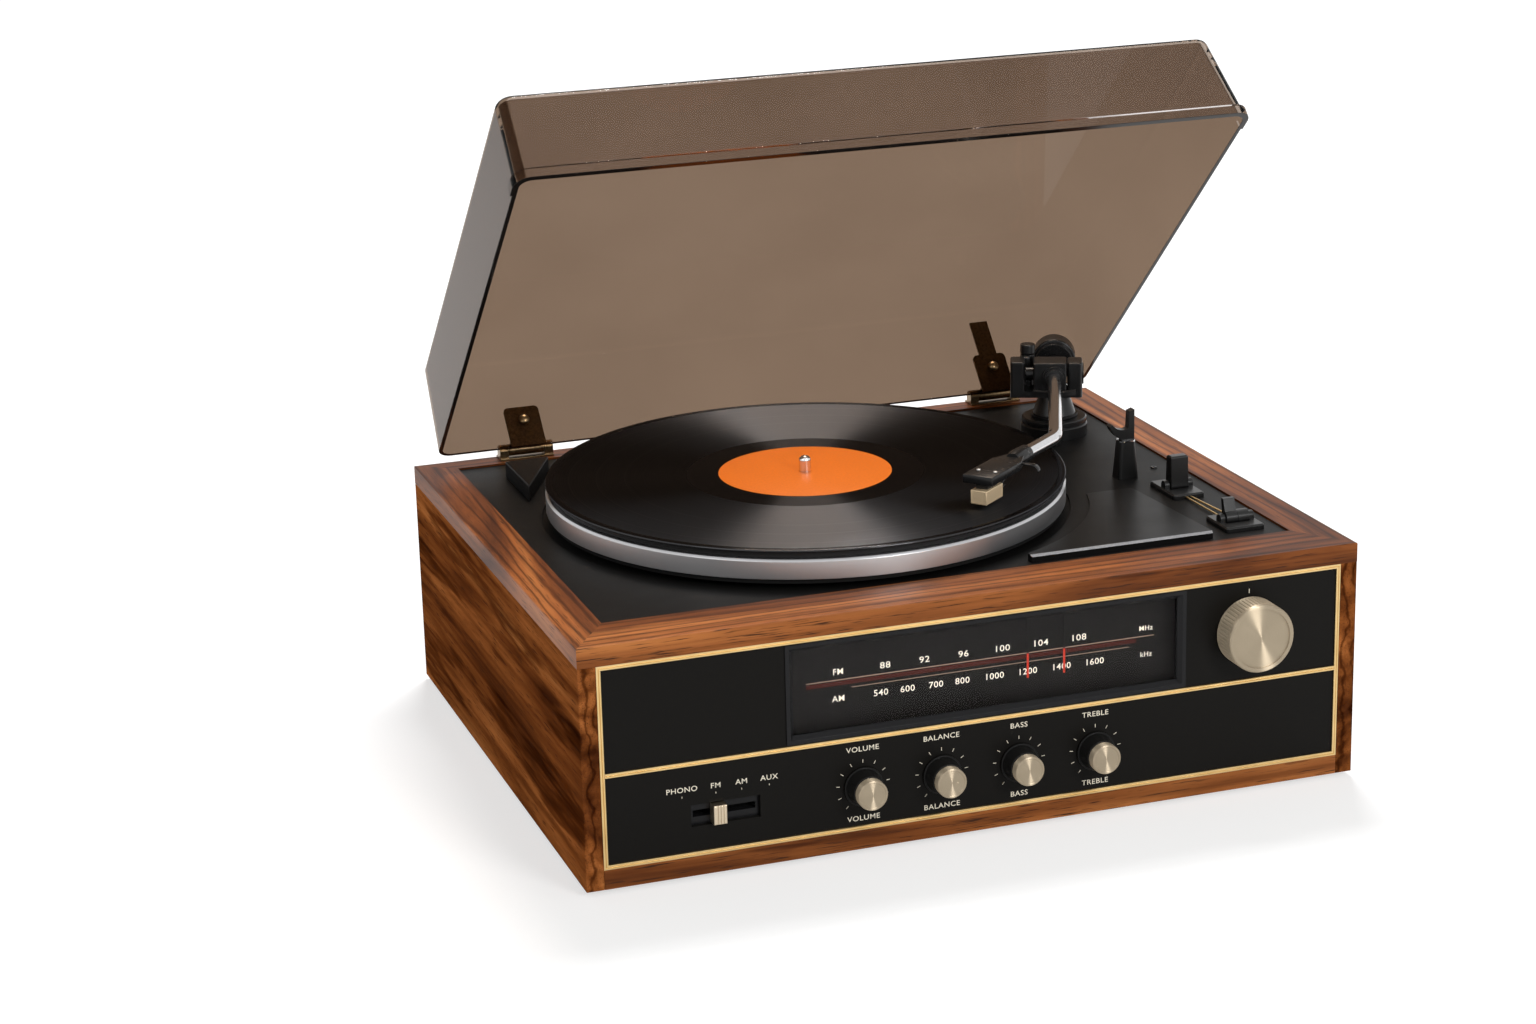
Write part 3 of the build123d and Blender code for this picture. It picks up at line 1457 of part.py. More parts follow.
fin_width = start_width * fin_share
start_pin_length = start_width + 2 * ear_gap + 2 * ear_thickness
with BuildPart() as start_lever:
    with BuildSketch(Plane.YZ.offset(start_x - start_width / 2)):
        with Locations((start_y, pivot_z)):
            Circle(boss_radius)
    extrude(amount=fin_width)
    with BuildSketch(Plane.YZ.offset(start_x - start_width / 2 + fin_width)):
        with Locations((start_y, pivot_z)):
            Circle(barrel_radius)
    extrude(amount=start_width - fin_width)
    with BuildSketch(Plane.YZ.offset(start_x - start_width / 2)):
        with BuildLine():
            Polyline((start_y - fin_root, pivot_z), (start_y + fin_root, pivot_z),
                     (start_y + fin_lean, pivot_z + start_height),
                     (start_y + fin_lean - fin_tip, pivot_z + start_height), close=True)
        make_face()
    extrude(amount=fin_width)
    with BuildSketch(Plane.YZ.offset(start_x - start_pin_length / 2)):
        with Locations((start_y, pivot_z)):
            Circle(lever_pin_radius)
    extrude(amount=start_pin_length)
start_lever.part.label = "start_lever"
export_step(start_lever.part, "parts/start_lever.step")

# Raised board that slopes back from its front edge, and the block in the corner behind the platter

with BuildPart() as raised_board:
    with BuildSketch(Plane.XY.offset(deck_z)):
        with BuildLine():
            Polyline((board_left, board_front), (board_right, board_front), (board_right, board_back),
                     (board_left, board_back), close=True)
        make_face()
        with Locations((platter_x, platter_y)):
            Circle(board_arc_radius, mode=Mode.SUBTRACT)
    extrude(amount=board_height)
    fillet(raised_board.edges().filter_by(Axis.Z).sort_by(Axis.X)[0], radius=board_corner)
    with BuildSketch(Plane.YZ.offset(board_left)):
        with BuildLine():
            Polyline((board_front, deck_z), (board_front, deck_z + board_height - board_edge),
                     (board_front + board_edge, deck_z + board_height),
                     (board_back, deck_z + board_back_height), (board_back, deck_z), close=True)
        make_face()
    extrude(amount=board_right - board_left, mode=Mode.INTERSECT)
raised_board.part.label = "raised_board"
export_step(raised_board.part, "parts/raised_board.step")

with BuildPart() as corner_block:
    with BuildSketch(Plane.XY.offset(deck_z)):
        with BuildLine():
            Polyline((corner_left, corner_front), (corner_right, corner_back), (corner_left, corner_back),
                     close=True)
        make_face()
        with Locations((platter_x, platter_y)):
            Circle(corner_arc_radius, mode=Mode.SUBTRACT)
    extrude(amount=corner_height)
    chamfer(corner_block.edges().group_by(Axis.Z)[-1], length=corner_edge)
corner_block.part.label = "corner_block"
export_step(corner_block.part, "parts/corner_block.step")

# Dust cover, held open by its friction hinges

pin_y = lid_back + pin_back
pin_z = top_z + pin_height
open_cos = cos(radians(lid_angle))
open_sin = sin(radians(lid_angle))
lid_plane = Plane(origin=(0, pin_y, pin_z), x_dir=(1, 0, 0), z_dir=(0, open_sin, open_cos))
rim_w = lid_seat - pin_height
lid_top_depth = lid_depth - lid_front_draft
lid_top_width = 2 * (lid_half_width - lid_side_draft)
rim_y = -pin_back - lid_depth / 2
crown_y = -pin_back - lid_top_depth / 2

with BuildPart() as lid:
    with BuildSketch(lid_plane.offset(rim_w)):
        with Locations((0, rim_y)):
            RectangleRounded(2 * lid_half_width, lid_depth, lid_corner)
    with BuildSketch(lid_plane.offset(rim_w + lid_height)):
        with Locations((0, crown_y)):
            RectangleRounded(lid_top_width, lid_top_depth, lid_corner)
    loft()
    top_edges = lid.faces().sort_by(Axis(lid_plane.origin, lid_plane.z_dir))[-1].edges()
    fillet(top_edges, radius=lid_edge)
    with BuildSketch(lid_plane.offset(rim_w)):
        with Locations((0, rim_y)):
            RectangleRounded(2 * (lid_half_width + lip_proud), lid_depth + 2 * lip_proud,
                             lid_corner + lip_proud)
        with Locations((0, rim_y + lip_length)):
            Rectangle(3 * lid_half_width, lid_depth + 2 * lip_proud, mode=Mode.SUBTRACT)
    extrude(amount=lip_height)
    with BuildSketch(lid_plane.offset(rim_w)):
        with Locations((0, rim_y)):
            RectangleRounded(2 * (lid_half_width - lid_wall), lid_depth - 2 * lid_wall, lid_corner - lid_wall)
    with BuildSketch(lid_plane.offset(rim_w + lid_height - lid_wall)):
        with Locations((0, crown_y)):
            RectangleRounded(lid_top_width - 2 * lid_wall, lid_top_depth - 2 * lid_wall,
                             lid_corner - lid_wall)
    loft(mode=Mode.SUBTRACT)
lid.part.label = "lid"
export_step(lid.part, "parts/lid.step")

leaf_bottom = rim_w + leaf_gap
with BuildPart() as hinge_leaves:
    for side in (-1, 1):
        leaf_plane = Plane(origin=(side * hinge_x - leaf_width / 2, pin_y, pin_z), x_dir=lid_plane.y_dir,
                           z_dir=(1, 0, 0))
        with BuildSketch(leaf_plane):
            with Locations((-pin_back + leaf_thickness / 2, leaf_bottom + leaf_height / 2)):
                Rectangle(leaf_thickness, leaf_height)
            with Locations((-pin_back / 2, 0)):
                Rectangle(pin_back, leaf_thickness)
            Circle(knuckle_radius)
            Circle(hinge_pin_radius + running_clearance, mode=Mode.SUBTRACT)
        extrude(amount=leaf_width)
    leaf_tops = hinge_leaves.faces().group_by(Axis(lid_plane.origin, lid_plane.z_dir))[-1].edges()
    fillet(leaf_tops.group_by(SortBy.LENGTH)[0], radius=leaf_corner)
    with BuildSketch(lid_plane.offset(leaf_bottom + leaf_height / 2)):
        with Locations((hinge_x, -pin_back + leaf_thickness / 2)):
            Rectangle(strip_width, leaf_thickness)
    extrude(amount=leaf_height / 2 + strip_length)
hinge_leaves.part.label = "hinge_leaves"
export_step(hinge_leaves.part, "parts/hinge_leaves.step")

bracket_gap = leaf_width + 2 * knuckle_gap
bracket_width = bracket_gap + 2 * bracket_ear
with BuildPart() as hinge_brackets:
    for side in (-1, 1):
        bracket_plane = Plane.YZ.offset(side * hinge_x - bracket_width / 2)
        with BuildSketch(bracket_plane):
            with Locations((pin_y, pin_z)):
                Circle(knuckle_radius)
            with Locations((pin_y, (top_z + pin_z) / 2)):
                Rectangle(2 * knuckle_radius, pin_height)
        extrude(amount=bracket_width)
        with BuildSketch(Plane.XY.offset(top_z)):
            with Locations((side * hinge_x, pin_y)):
                Rectangle(bracket_gap, bracket_width)
        extrude(amount=pin_height + 2 * knuckle_radius, mode=Mode.SUBTRACT)
        with BuildSketch(Plane.XY.offset(top_z)):
            with Locations((side * hinge_x, half_depth - (bracket_depth + knuckle_gap) / 2)):
                Rectangle(bracket_width, bracket_depth)
        extrude(amount=bracket_base)
        with BuildSketch(bracket_plane):
            with Locations((pin_y, pin_z)):
                Circle(hinge_pin_radius)
        extrude(amount=bracket_width)
hinge_brackets.part.label = "hinge_brackets"
export_step(hinge_brackets.part, "parts/hinge_brackets.step")

# Back panel with its sockets

rear_face = half_depth + rear_thickness
inlet_place = (inlet_x, rear_z - inlet_drop)
terminal_place = (terminal_x, rear_z - terminal_drop)
aerial_place = (aerial_x, rear_z + aerial_lift)
socket_places = [(socket_x + i * socket_pitch, rear_z - socket_drop + j * socket_pitch)
                 for i in range(3) for j in range(2)]

with BuildPart() as rear_panel:
    with BuildSketch(Plane.XZ.offset(-rear_face)):
        with Locations((0, rear_z)):
            Rectangle(rear_width + 2 * rear_lap, rear_height + 2 * rear_lap)
        with Locations(*socket_places):
            Circle(socket_radius, mode=Mode.SUBTRACT)
        with Locations(inlet_place):
            Rectangle(inlet_width, inlet_height, mode=Mode.SUBTRACT)
        with Locations(terminal_place):
            Rectangle(terminal_width, terminal_height, mode=Mode.SUBTRACT)
        with Locations(aerial_place):
            Rectangle(aerial_width, aerial_height, mode=Mode.SUBTRACT)
    extrude(amount=rear_thickness)
rear_panel.part.label = "rear_panel"
export_step(rear_panel.part, "parts/rear_panel.step")

with BuildPart() as rear_sockets:
    with BuildSketch(Plane.XZ.offset(-(rear_face + socket_reach))):
        with Locations(*socket_places):
            Circle(socket_radius)
    extrude(amount=socket_reach + rear_thickness + socket_root)
    with BuildSketch(Plane.XZ.offset(-(rear_face + socket_reach))):
        with Locations(*socket_places):
            Circle(socket_hole_radius)
    extrude(amount=socket_reach + rear_thickness, mode=Mode.SUBTRACT)
    with BuildSketch(Plane.XZ.offset(-(rear_face + inlet_proud))):
        with Locations(inlet_place):
            Rectangle(inlet_width, inlet_height)
    extrude(amount=rear_thickness + inlet_depth)
    with BuildSketch(Plane.XZ.offset(-(rear_face + inlet_proud))):
        with Locations(inlet_place):
            SlotOverall(inlet_well_width, inlet_well_height)
    extrude(amount=inlet_well_depth, mode=Mode.SUBTRACT)
    with BuildSketch(Plane.XZ.offset(-(rear_face - inlet_proud))):
        with Locations(inlet_place):
            with GridLocations(inlet_pin_pitch, 0, 2, 1):
                Circle(inlet_pin_radius)
    extrude(amount=inlet_pin_length)
    with BuildSketch(Plane.XZ.offset(-(rear_face + terminal_proud))):
        with Locations(terminal_place):
            Rectangle(terminal_width, terminal_height)
    extrude(amount=terminal_proud + rear_thickness + terminal_root)
    with BuildSketch(Plane.XZ.offset(-(rear_face + terminal_proud))):
        with Locations(terminal_place):
            with GridLocations(terminal_pitch, 0, 4, 1):
                Rectangle(terminal_key_width, terminal_key_height)
    extrude(amount=terminal_key_depth, mode=Mode.SUBTRACT)
    with BuildSketch(Plane.XZ.offset(-(rear_face + aerial_proud))):
        with Locations(aerial_place):
            Rectangle(aerial_width, aerial_height)
    extrude(amount=aerial_proud + rear_thickness + aerial_root)
    with BuildSketch(Plane.XZ.offset(-(rear_face + aerial_proud + aerial_screw_height))):
        with Locations(aerial_place):
            with GridLocations(aerial_pitch, 0, 4, 1):
                Circle(aerial_screw_radius)
    extrude(amount=aerial_screw_height)
rear_sockets.part.label = "rear_sockets"
export_step(rear_sockets.part, "parts/rear_sockets.step")

# Inside: power transformer, circuit board and tuning capacitor

with BuildPart() as transformer:
    with BuildSketch(Plane.XY.offset(inside_floor)):
        with Locations((transformer_x, transformer_y)):
            Rectangle(core_width, core_depth)
    extrude(amount=core_height)
    with BuildSketch(Plane.XY.offset(inside_floor + coil_lift)):
        with Locations((transformer_x, transformer_y)):
            RectangleRounded(coil_width, coil_depth, coil_corner)
    extrude(amount=coil_height)
    with BuildSketch(Plane.XY.offset(inside_floor)):
        with Locations((transformer_x, transformer_y)):
            Rectangle(tab_width, tab_depth)
    extrude(amount=tab_thickness)
transformer.part.label = "transformer"
export_step(transformer.part, "parts/transformer.step")

circuit_z = inside_floor + circuit_lift
circuit_top_z = circuit_z + circuit_thickness
with BuildPart() as main_board:
    with BuildSketch(Plane.XY.offset(circuit_z)):
        with Locations((circuit_x, circuit_y)):
            Rectangle(circuit_width, circuit_depth)
    extrude(amount=circuit_thickness)
    with BuildSketch(Plane.XY.offset(inside_floor)):
        with Locations((circuit_x, circuit_y)):
            with GridLocations(circuit_width - 2 * pillar_inset, circuit_depth - 2 * pillar_inset, 2, 2):
                Circle(pillar_radius)
    extrude(amount=circuit_lift)
    with BuildSketch(Plane.XY.offset(circuit_top_z)):
        with Locations((capacitor_x, capacitor_y)):
            with GridLocations(capacitor_pitch_x, capacitor_pitch_y, 2, 2):
                Circle(capacitor_radius)
    extrude(amount=capacitor_height)
    with BuildSketch(Plane.XY.offset(circuit_top_z)):
        with Locations((sink_x, sink_y)):
            with GridLocations(sink_pitch, 0, sink_fins, 1):
                Rectangle(sink_fin, sink_depth)
            Rectangle(sink_pitch * (sink_fins - 1) + sink_fin, sink_web)
    extrude(amount=sink_height)
    with BuildSketch(Plane.XY.offset(circuit_top_z)):
        with Locations((can_x, can_y)):
            with GridLocations(can_pitch_x, can_pitch_y, 4, 2):
                Rectangle(can_size, can_size)
    extrude(amount=can_height)
main_board.part.label = "main_board"
export_step(main_board.part, "parts/main_board.step")

gang_y = gang_front + gang_depth / 2
gang_bottom_z = tuning_z - gang_drop
with BuildPart() as tuning_gang:
    with BuildSketch(Plane.XY.offset(gang_bottom_z)):
        with Locations((tuning_x, gang_y)):
            Rectangle(gang_width, gang_depth)
    extrude(amount=gang_height)
    with BuildSketch(Plane.XY.offset(gang_bottom_z + gang_floor)):
        with Locations((tuning_x, gang_y + gang_slot_setback)):
            with GridLocations(0, gang_slot_pitch, 1, gang_slots):
                Rectangle(gang_slot_width, gang_slot)
    extrude(amount=gang_height, mode=Mode.SUBTRACT)
    with BuildSketch(Plane.XY.offset(inside_floor)):
        with Locations((tuning_x, gang_y)):
            Rectangle(gang_foot_width, gang_foot)
            Rectangle(gang_foot, gang_width)
    extrude(amount=gang_bottom_z - inside_floor)
    with BuildSketch(Plane.XZ.offset(-gang_front)):
        with Locations((tuning_x, tuning_z)):
            Circle(shaft_radius + running_clearance)
    extrude(amount=-gang_reach, mode=Mode.SUBTRACT)
tuning_gang.part.label = "tuning_gang"
export_step(tuning_gang.part, "parts/tuning_gang.step")
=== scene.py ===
import json
from math import cos, pi, radians, sin, tan

import bmesh
import bpy
from mathutils import Matrix, Vector


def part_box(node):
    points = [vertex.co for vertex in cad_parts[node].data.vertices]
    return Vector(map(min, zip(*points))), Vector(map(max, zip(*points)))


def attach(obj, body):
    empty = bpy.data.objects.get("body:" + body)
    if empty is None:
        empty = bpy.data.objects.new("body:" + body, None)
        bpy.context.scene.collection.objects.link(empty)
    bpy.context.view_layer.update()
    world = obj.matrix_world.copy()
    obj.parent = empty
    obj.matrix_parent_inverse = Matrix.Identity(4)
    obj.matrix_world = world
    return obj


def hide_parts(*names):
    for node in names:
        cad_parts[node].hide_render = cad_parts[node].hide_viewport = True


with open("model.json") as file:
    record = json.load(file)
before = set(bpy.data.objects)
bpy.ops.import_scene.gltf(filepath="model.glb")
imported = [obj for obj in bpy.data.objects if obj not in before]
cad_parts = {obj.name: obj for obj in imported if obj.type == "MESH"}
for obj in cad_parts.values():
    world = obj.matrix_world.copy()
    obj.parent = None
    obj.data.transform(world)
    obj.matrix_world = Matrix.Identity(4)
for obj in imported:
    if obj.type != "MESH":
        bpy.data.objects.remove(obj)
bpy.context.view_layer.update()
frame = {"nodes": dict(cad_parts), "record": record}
nodes = frame["nodes"]

# The camera stands to the left in front of the player and a little above it, where the
# photograph was taken, with a long lens that keeps the uprights nearly parallel.
camera_place = (-0.63000, -1.70022, 0.69395)
camera_yaw = radians(18.6)
camera_pitch = radians(17.18)
camera_roll = radians(-1.49)
photo_width = 1536
focal_pixels = 3262.5
sensor_width = 36.0

camera = bpy.data.objects.new("camera", bpy.data.cameras.new("camera"))
camera.data.sensor_width = sensor_width
camera.data.lens = focal_pixels / photo_width * sensor_width
camera.data.clip_end = 20
looking = Matrix.Rotation(-camera_yaw, 4, "Z") @ Matrix.Rotation(pi / 2 - camera_pitch, 4, "X")
camera.matrix_world = Matrix.Translation(camera_place) @ looking @ Matrix.Rotation(camera_roll, 4, "Z")
bpy.context.collection.objects.link(camera)
bpy.context.scene.camera = camera

# A pale floor and soft boxes: a large box over the front right, a weaker one to the left and one
# behind, in a room that shows white to the camera, to metal and through glass.
bpy.context.scene.view_settings.view_transform = "Standard"
studio = bpy.data.worlds.new("studio")
bpy.context.scene.world = studio
studio.use_nodes = True


def fed(tree, inputs, feeds):
    """Each of a node's inputs gets a plain value or another node's output."""
    for socket, value in feeds.items():
        if isinstance(value, bpy.types.NodeSocket):
            tree.links.new(value, inputs[socket])
        else:
            inputs[socket].default_value = value


def put(tree, kind, feeds=None, **settings):
    """A new node with its settings and what feeds it; gives back its outputs."""
    node = tree.nodes.new("ShaderNode" + kind)
    for setting, value in settings.items():
        setattr(node, setting, value)
    fed(tree, node.inputs, feeds or {})
    return node.outputs


def seen_directly(tree):
    """Where the camera looks at a surface, or sees it in metal or through glass."""
    rays = put(tree, "LightPath")
    seen = rays["Is Camera Ray"]
    for kind in ("Is Glossy Ray", "Is Transmission Ray"):
        seen = put(tree, "Math", {0: seen, 1: rays[kind]}, operation="MAXIMUM")[0]
    return seen


room = studio.node_tree
room.nodes.clear()
room_lamp = put(room, "Background", {"Color": (1.0, 0.985, 0.96, 1), "Strength": 0.34})[0]
room_white = put(room, "Background", {"Color": (1, 1, 1, 1), "Strength": 1.0})[0]
room_mix = put(room, "MixShader", {0: seen_directly(room), 1: room_lamp, 2: room_white})[0]
put(room, "OutputWorld", {"Surface": room_mix})


def soft_box(name, place, aim, width, height, watts):
    """A rectangular studio lamp at a place, pointed at another."""
    lamp = bpy.data.lights.new(name, "AREA")
    lamp.shape = "RECTANGLE"
    lamp.size = width
    lamp.size_y = height
    lamp.energy = watts
    holder = bpy.data.objects.new(name, lamp)
    turn = (Vector(aim) - Vector(place)).to_track_quat("-Z", "Y").to_matrix().to_4x4()
    holder.matrix_world = Matrix.Translation(place) @ turn
    bpy.context.collection.objects.link(holder)


soft_box("box_front", (0.75, -2.35, 1.30), (0, 0, 0.1), 0.8, 0.7, 30)
soft_box("box_left", (-1.9, -1.1, 1.5), (0, 0, 0.1), 0.9, 0.9, 5)
soft_box("box_back", (0.42, 1.15, 2.35), (0, 0, 0.1), 0.8, 0.6, 62)

floor_mesh = bpy.data.meshes.new("floor")
floor_shape = bmesh.new()
bmesh.ops.create_grid(floor_shape, x_segments=2, y_segments=2, size=6.0)
floor_shape.to_mesh(floor_mesh)
floor_shape.free()
floor = bpy.data.objects.new("floor", floor_mesh)
bpy.context.collection.objects.link(floor)
floor_paint = bpy.data.materials.new("pale_floor")
floor_paint.use_nodes = True
paint = floor_paint.node_tree
paint.nodes.clear()
floor_place = put(paint, "TexCoord")["Object"]
floor_far = put(paint, "VectorMath", {0: floor_place}, operation="LENGTH")["Value"]
floor_rise = put(paint, "MapRange", {"Value": floor_far, "From Min": 0.25, "From Max": 2.2, "To Min": 0.62,
                                     "To Max": 0.84}, interpolation_type="SMOOTHSTEP")[0]
floor_glow = put(paint, "Emission", {"Strength": floor_rise})[0]
floor_pale = put(paint, "BsdfDiffuse", {"Color": (0.45, 0.45, 0.45, 1)})[0]
floor_face = put(paint, "BsdfDiffuse", {"Color": (0.86, 0.86, 0.86, 1)})[0]
floor_seen = put(paint, "AddShader", {0: floor_pale, 1: floor_glow})[0]
floor_mix = put(paint, "MixShader", {0: seen_directly(paint), 1: floor_face, 2: floor_seen})[0]
put(paint, "OutputMaterial", {"Surface": floor_mix})
floor_mesh.materials.append(floor_paint)

# Case boards: particle board under walnut veneer, oiled to a satin gloss. The grain runs along
# each board, and the top is a frame of four members mitred at the corners.
body_of_node = {node: body for body, group in frame["record"]["behaviour"]["bodies"].items() for node in group}


def new_material(name, roughness, metallic=0.0):
    """A new finish, with its nodes and its shader's inputs."""
    material = bpy.data.materials.new(name)
    material.use_nodes = True
    tree = material.node_tree
    shader = tree.nodes["Principled BSDF"].inputs
    fed(tree, shader, {"Roughness": roughness, "Metallic": metallic})
    return material, tree, shader


def group_of(name, inputs, outputs):
    """A node group with its sockets, each a name and a kind; gives it with its start and its end."""
    group = bpy.data.node_groups.new(name, "ShaderNodeTree")
    for way, sockets in (("INPUT", inputs), ("OUTPUT", outputs)):
        for socket, kind in sockets.items():
            group.interface.new_socket(socket, in_out=way, socket_type="NodeSocket" + kind)
    return group, group.nodes.new("NodeGroupInput").outputs, group.nodes.new("NodeGroupOutput").inputs


def ramp(tree, value, *stops, interpolation="LINEAR"):
    """The colour that a value picks from stops of a place and a colour."""
    node = tree.nodes.new("ShaderNodeValToRGB")
    band = node.color_ramp
    band.interpolation = interpolation
    band.elements[0].position, band.elements[0].color = stops[0][0], (*stops[0][1], 1)
    band.elements[1].position, band.elements[1].color = stops[-1][0], (*stops[-1][1], 1)
    for place, colour in stops[1:-1]:
        band.elements.new(place).color = (*colour, 1)
    tree.links.new(value, node.inputs[0])
    return node.outputs[0]


def bumped(tree, height, strength, depth):
    """The normal of a surface that rises with the height."""
    return put(tree, "Bump", {"Height": height, "Strength": strength, "Distance": depth})[0]


def worked(tree, operation, *values):
    """The outcome of a sum over plain values or other nodes' outputs."""
    return put(tree, "Math", dict(enumerate(values)), operation=operation)[0]


def walnut_figure():
    """Walnut veneer on X as the grain's way: its colour, its gloss and the depth of its pores."""
    group, start, end = group_of("walnut_figure", {"Along Grain": "Vector", "Depth": "Float"},
                                 {"Colour": "Color", "Gloss": "Float", "Pores": "Float"})

    def stretched(scale):
        return put(group, "Mapping", {"Vector": start["Along Grain"], "Scale": scale})[0]

    def noise(scale, detail, distortion=0.0):
        return put(group, "TexNoise", {"Vector": stretched(scale), "Scale": 1.0, "Detail": detail,
                                       "Distortion": distortion})["Fac"]

    def mixed(kind, amount, first, second):
        return put(group, "Mix", {"Factor": amount, 6: first, 7: second}, data_type="RGBA", blend_type=kind)[2]

    figure = noise((2.4, 24, 24), 5.0, 1.6)
    base = ramp(group, figure, (0.30, (0.075, 0.021, 0.0065)), (0.45, (0.225, 0.070, 0.018)),
                (0.58, (0.380, 0.130, 0.036)), (0.76, (0.520, 0.205, 0.064)))
    lines = put(group, "TexWave", {"Vector": stretched((4.0, 46, 46)), "Scale": 1.0, "Distortion": 9.0, "Detail": 4.0,
                                   "Detail Scale": 1.2}, wave_type="BANDS", bands_direction="Y")["Fac"]
    dark_lines = ramp(group, lines, (0.0, (0.30, 0.24, 0.20)), (0.28, (0.86, 0.84, 0.82)), (1.0, (1.0, 1.0, 1.0)))
    streaks = ramp(group, noise((2.0, 150, 150), 4.0, 0.4), (0.36, (0.52, 0.46, 0.42)), (0.60, (1.06, 1.05, 1.03)))
    pores = ramp(group, noise((55, 1500, 1500), 2.0), (0.30, (0.0, 0.0, 0.0)), (0.42, (1.0, 1.0, 1.0)))
    patches = ramp(group, noise((5, 9, 9), 2.0), (0.3, (0.80, 0.78, 0.76)), (0.7, (1.12, 1.10, 1.06)))
    colour = mixed("MULTIPLY", 0.9, base, dark_lines)
    colour = mixed("MULTIPLY", 0.85, colour, streaks)
    colour = mixed("MULTIPLY", 1.0, colour, patches)
    colour = mixed("MIX", pores, (0.045, 0.018, 0.009, 1), colour)
    gloss = put(group, "MapRange", {"Value": figure, "To Min": 0.50, "To Max": 0.36})[0]
    depth = worked(group, "MULTIPLY", pores, start["Depth"])
    fed(group, end, {"Colour": colour, "Gloss": gloss, "Pores": depth})
    return group


figure_group = walnut_figure()


def walnut(name, grain_turn, shift, shine=0.09):
    """Walnut veneer whose grain runs along X after the given turn, cut from its own part of the flitch."""
    material, tree, shader = new_material(name, 0.35)
    turn = put(tree, "Mapping", {"Vector": put(tree, "TexCoord")["Object"], "Rotation": grain_turn,
                                 "Location": shift})[0]
    veneer = put(tree, "Group", {"Along Grain": turn, "Depth": 1.0}, node_tree=figure_group)
    fed(tree, shader, {"Base Color": veneer["Colour"], "Roughness": veneer["Gloss"], "Specular IOR Level": shine,
                       "Normal": bumped(tree, veneer["Pores"], 0.12, 0.0002)})
    return material


def rounded(shape, edges, width, segments=2, edges_as=-1):
    """Edges eased to a small round, in a finish of their own where one is given."""
    bmesh.ops.bevel(shape, geom=edges, offset=width, offset_type="OFFSET", segments=segments, profile=0.5,
                    affect="EDGES", clamp_overlap=True, material=edges_as)


def cut(shape, place, normal, clear=False):
    """The mesh parted along a plane, and what lies behind it taken away where asked."""
    bmesh.ops.bisect_plane(shape, geom=shape.verts[:] + shape.edges[:] + shape.faces[:], plane_co=place,
                           plane_no=normal, clear_inner=clear)


def eased(node, width, material, sharp=28.0, segments=2, edges_as=-1):
    """A CAD node's form with hard edges eased and flats kept flat; it stands for the node and rides its body."""
    shape = bmesh.new()
    shape.from_mesh(nodes[node].data)
    bmesh.ops.remove_doubles(shape, verts=shape.verts, dist=1e-6)
    bmesh.ops.dissolve_limit(shape, angle_limit=radians(0.4), verts=shape.verts, edges=shape.edges)
    hard = [e for e in shape.edges if len(e.link_faces) == 2 and e.calc_face_angle(0.0) > radians(sharp)]
    if width:
        rounded(shape, hard, width, segments, edges_as)
    mesh = bpy.data.meshes.new(node + "_piece")
    shape.to_mesh(mesh)
    shape.free()
    mesh.shade_smooth()
    mesh.set_sharp_from_angle(angle=radians(sharp + 12))
    piece = bpy.data.objects.new(mesh.name, mesh)
    bpy.context.collection.objects.link(piece)
    flats = piece.modifiers.new("flats", "WEIGHTED_NORMAL")
    flats.weight = 100
    flats.keep_sharp = True
    for face_material in material if isinstance(material, list) else [material]:
        mesh.materials.append(face_material)
    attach(piece, body_of_node[node])
    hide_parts(node)
    return piece


def finish_of(node, material):
    """A CAD node shown as it is, in its own finish."""
    mesh = nodes[node].data
    mesh.materials.clear()
    mesh.materials.append(material)


walnut_sides = walnut("walnut_sides", (0, 0, radians(90)), (0.13, 0.31, 0.7))
walnut_front = walnut("walnut_front", (0, 0, 0), (0.41, 0.17, 0.23))
eased("side_boards", 0.0004, walnut("walnut_boards", (0, 0, radians(90)), (0.53, 0.11, 0.37), 0.0))
eased("bottom_rail", 0.0003, walnut_front)
eased("back_board", 0.0003, walnut("walnut_back", (0, 0, 0), (1.3, 0.4, 0.1)))


frame_piece = eased("top_frame", 0.0003, [walnut_front, walnut_sides])
frame_half_width, frame_half_depth = 0.224, 0.181
side_member, front_member, back_member = 0.024, 0.035, 0.017
shape = bmesh.new()
shape.from_mesh(frame_piece.data)
for side in (-1, 1):
    for end, member in ((-1, front_member), (1, back_member)):
        cut(shape, (side * frame_half_width, end * frame_half_depth, 0), (side * member, -end * side_member, 0))
for face in shape.faces:
    middle = face.calc_center_median()
    from_side = (frame_half_width - abs(middle.x)) / side_member
    from_end = (frame_half_depth - abs(middle.y)) / (front_member if middle.y < 0 else back_member)
    face.material_index = 1 if from_side < from_end else 0
shape.to_mesh(frame_piece.data)
shape.free()

# Base board and feet: pressed hardboard with vent slots, and four moulded rubber feet, each held
# by a screw sunk in its middle.


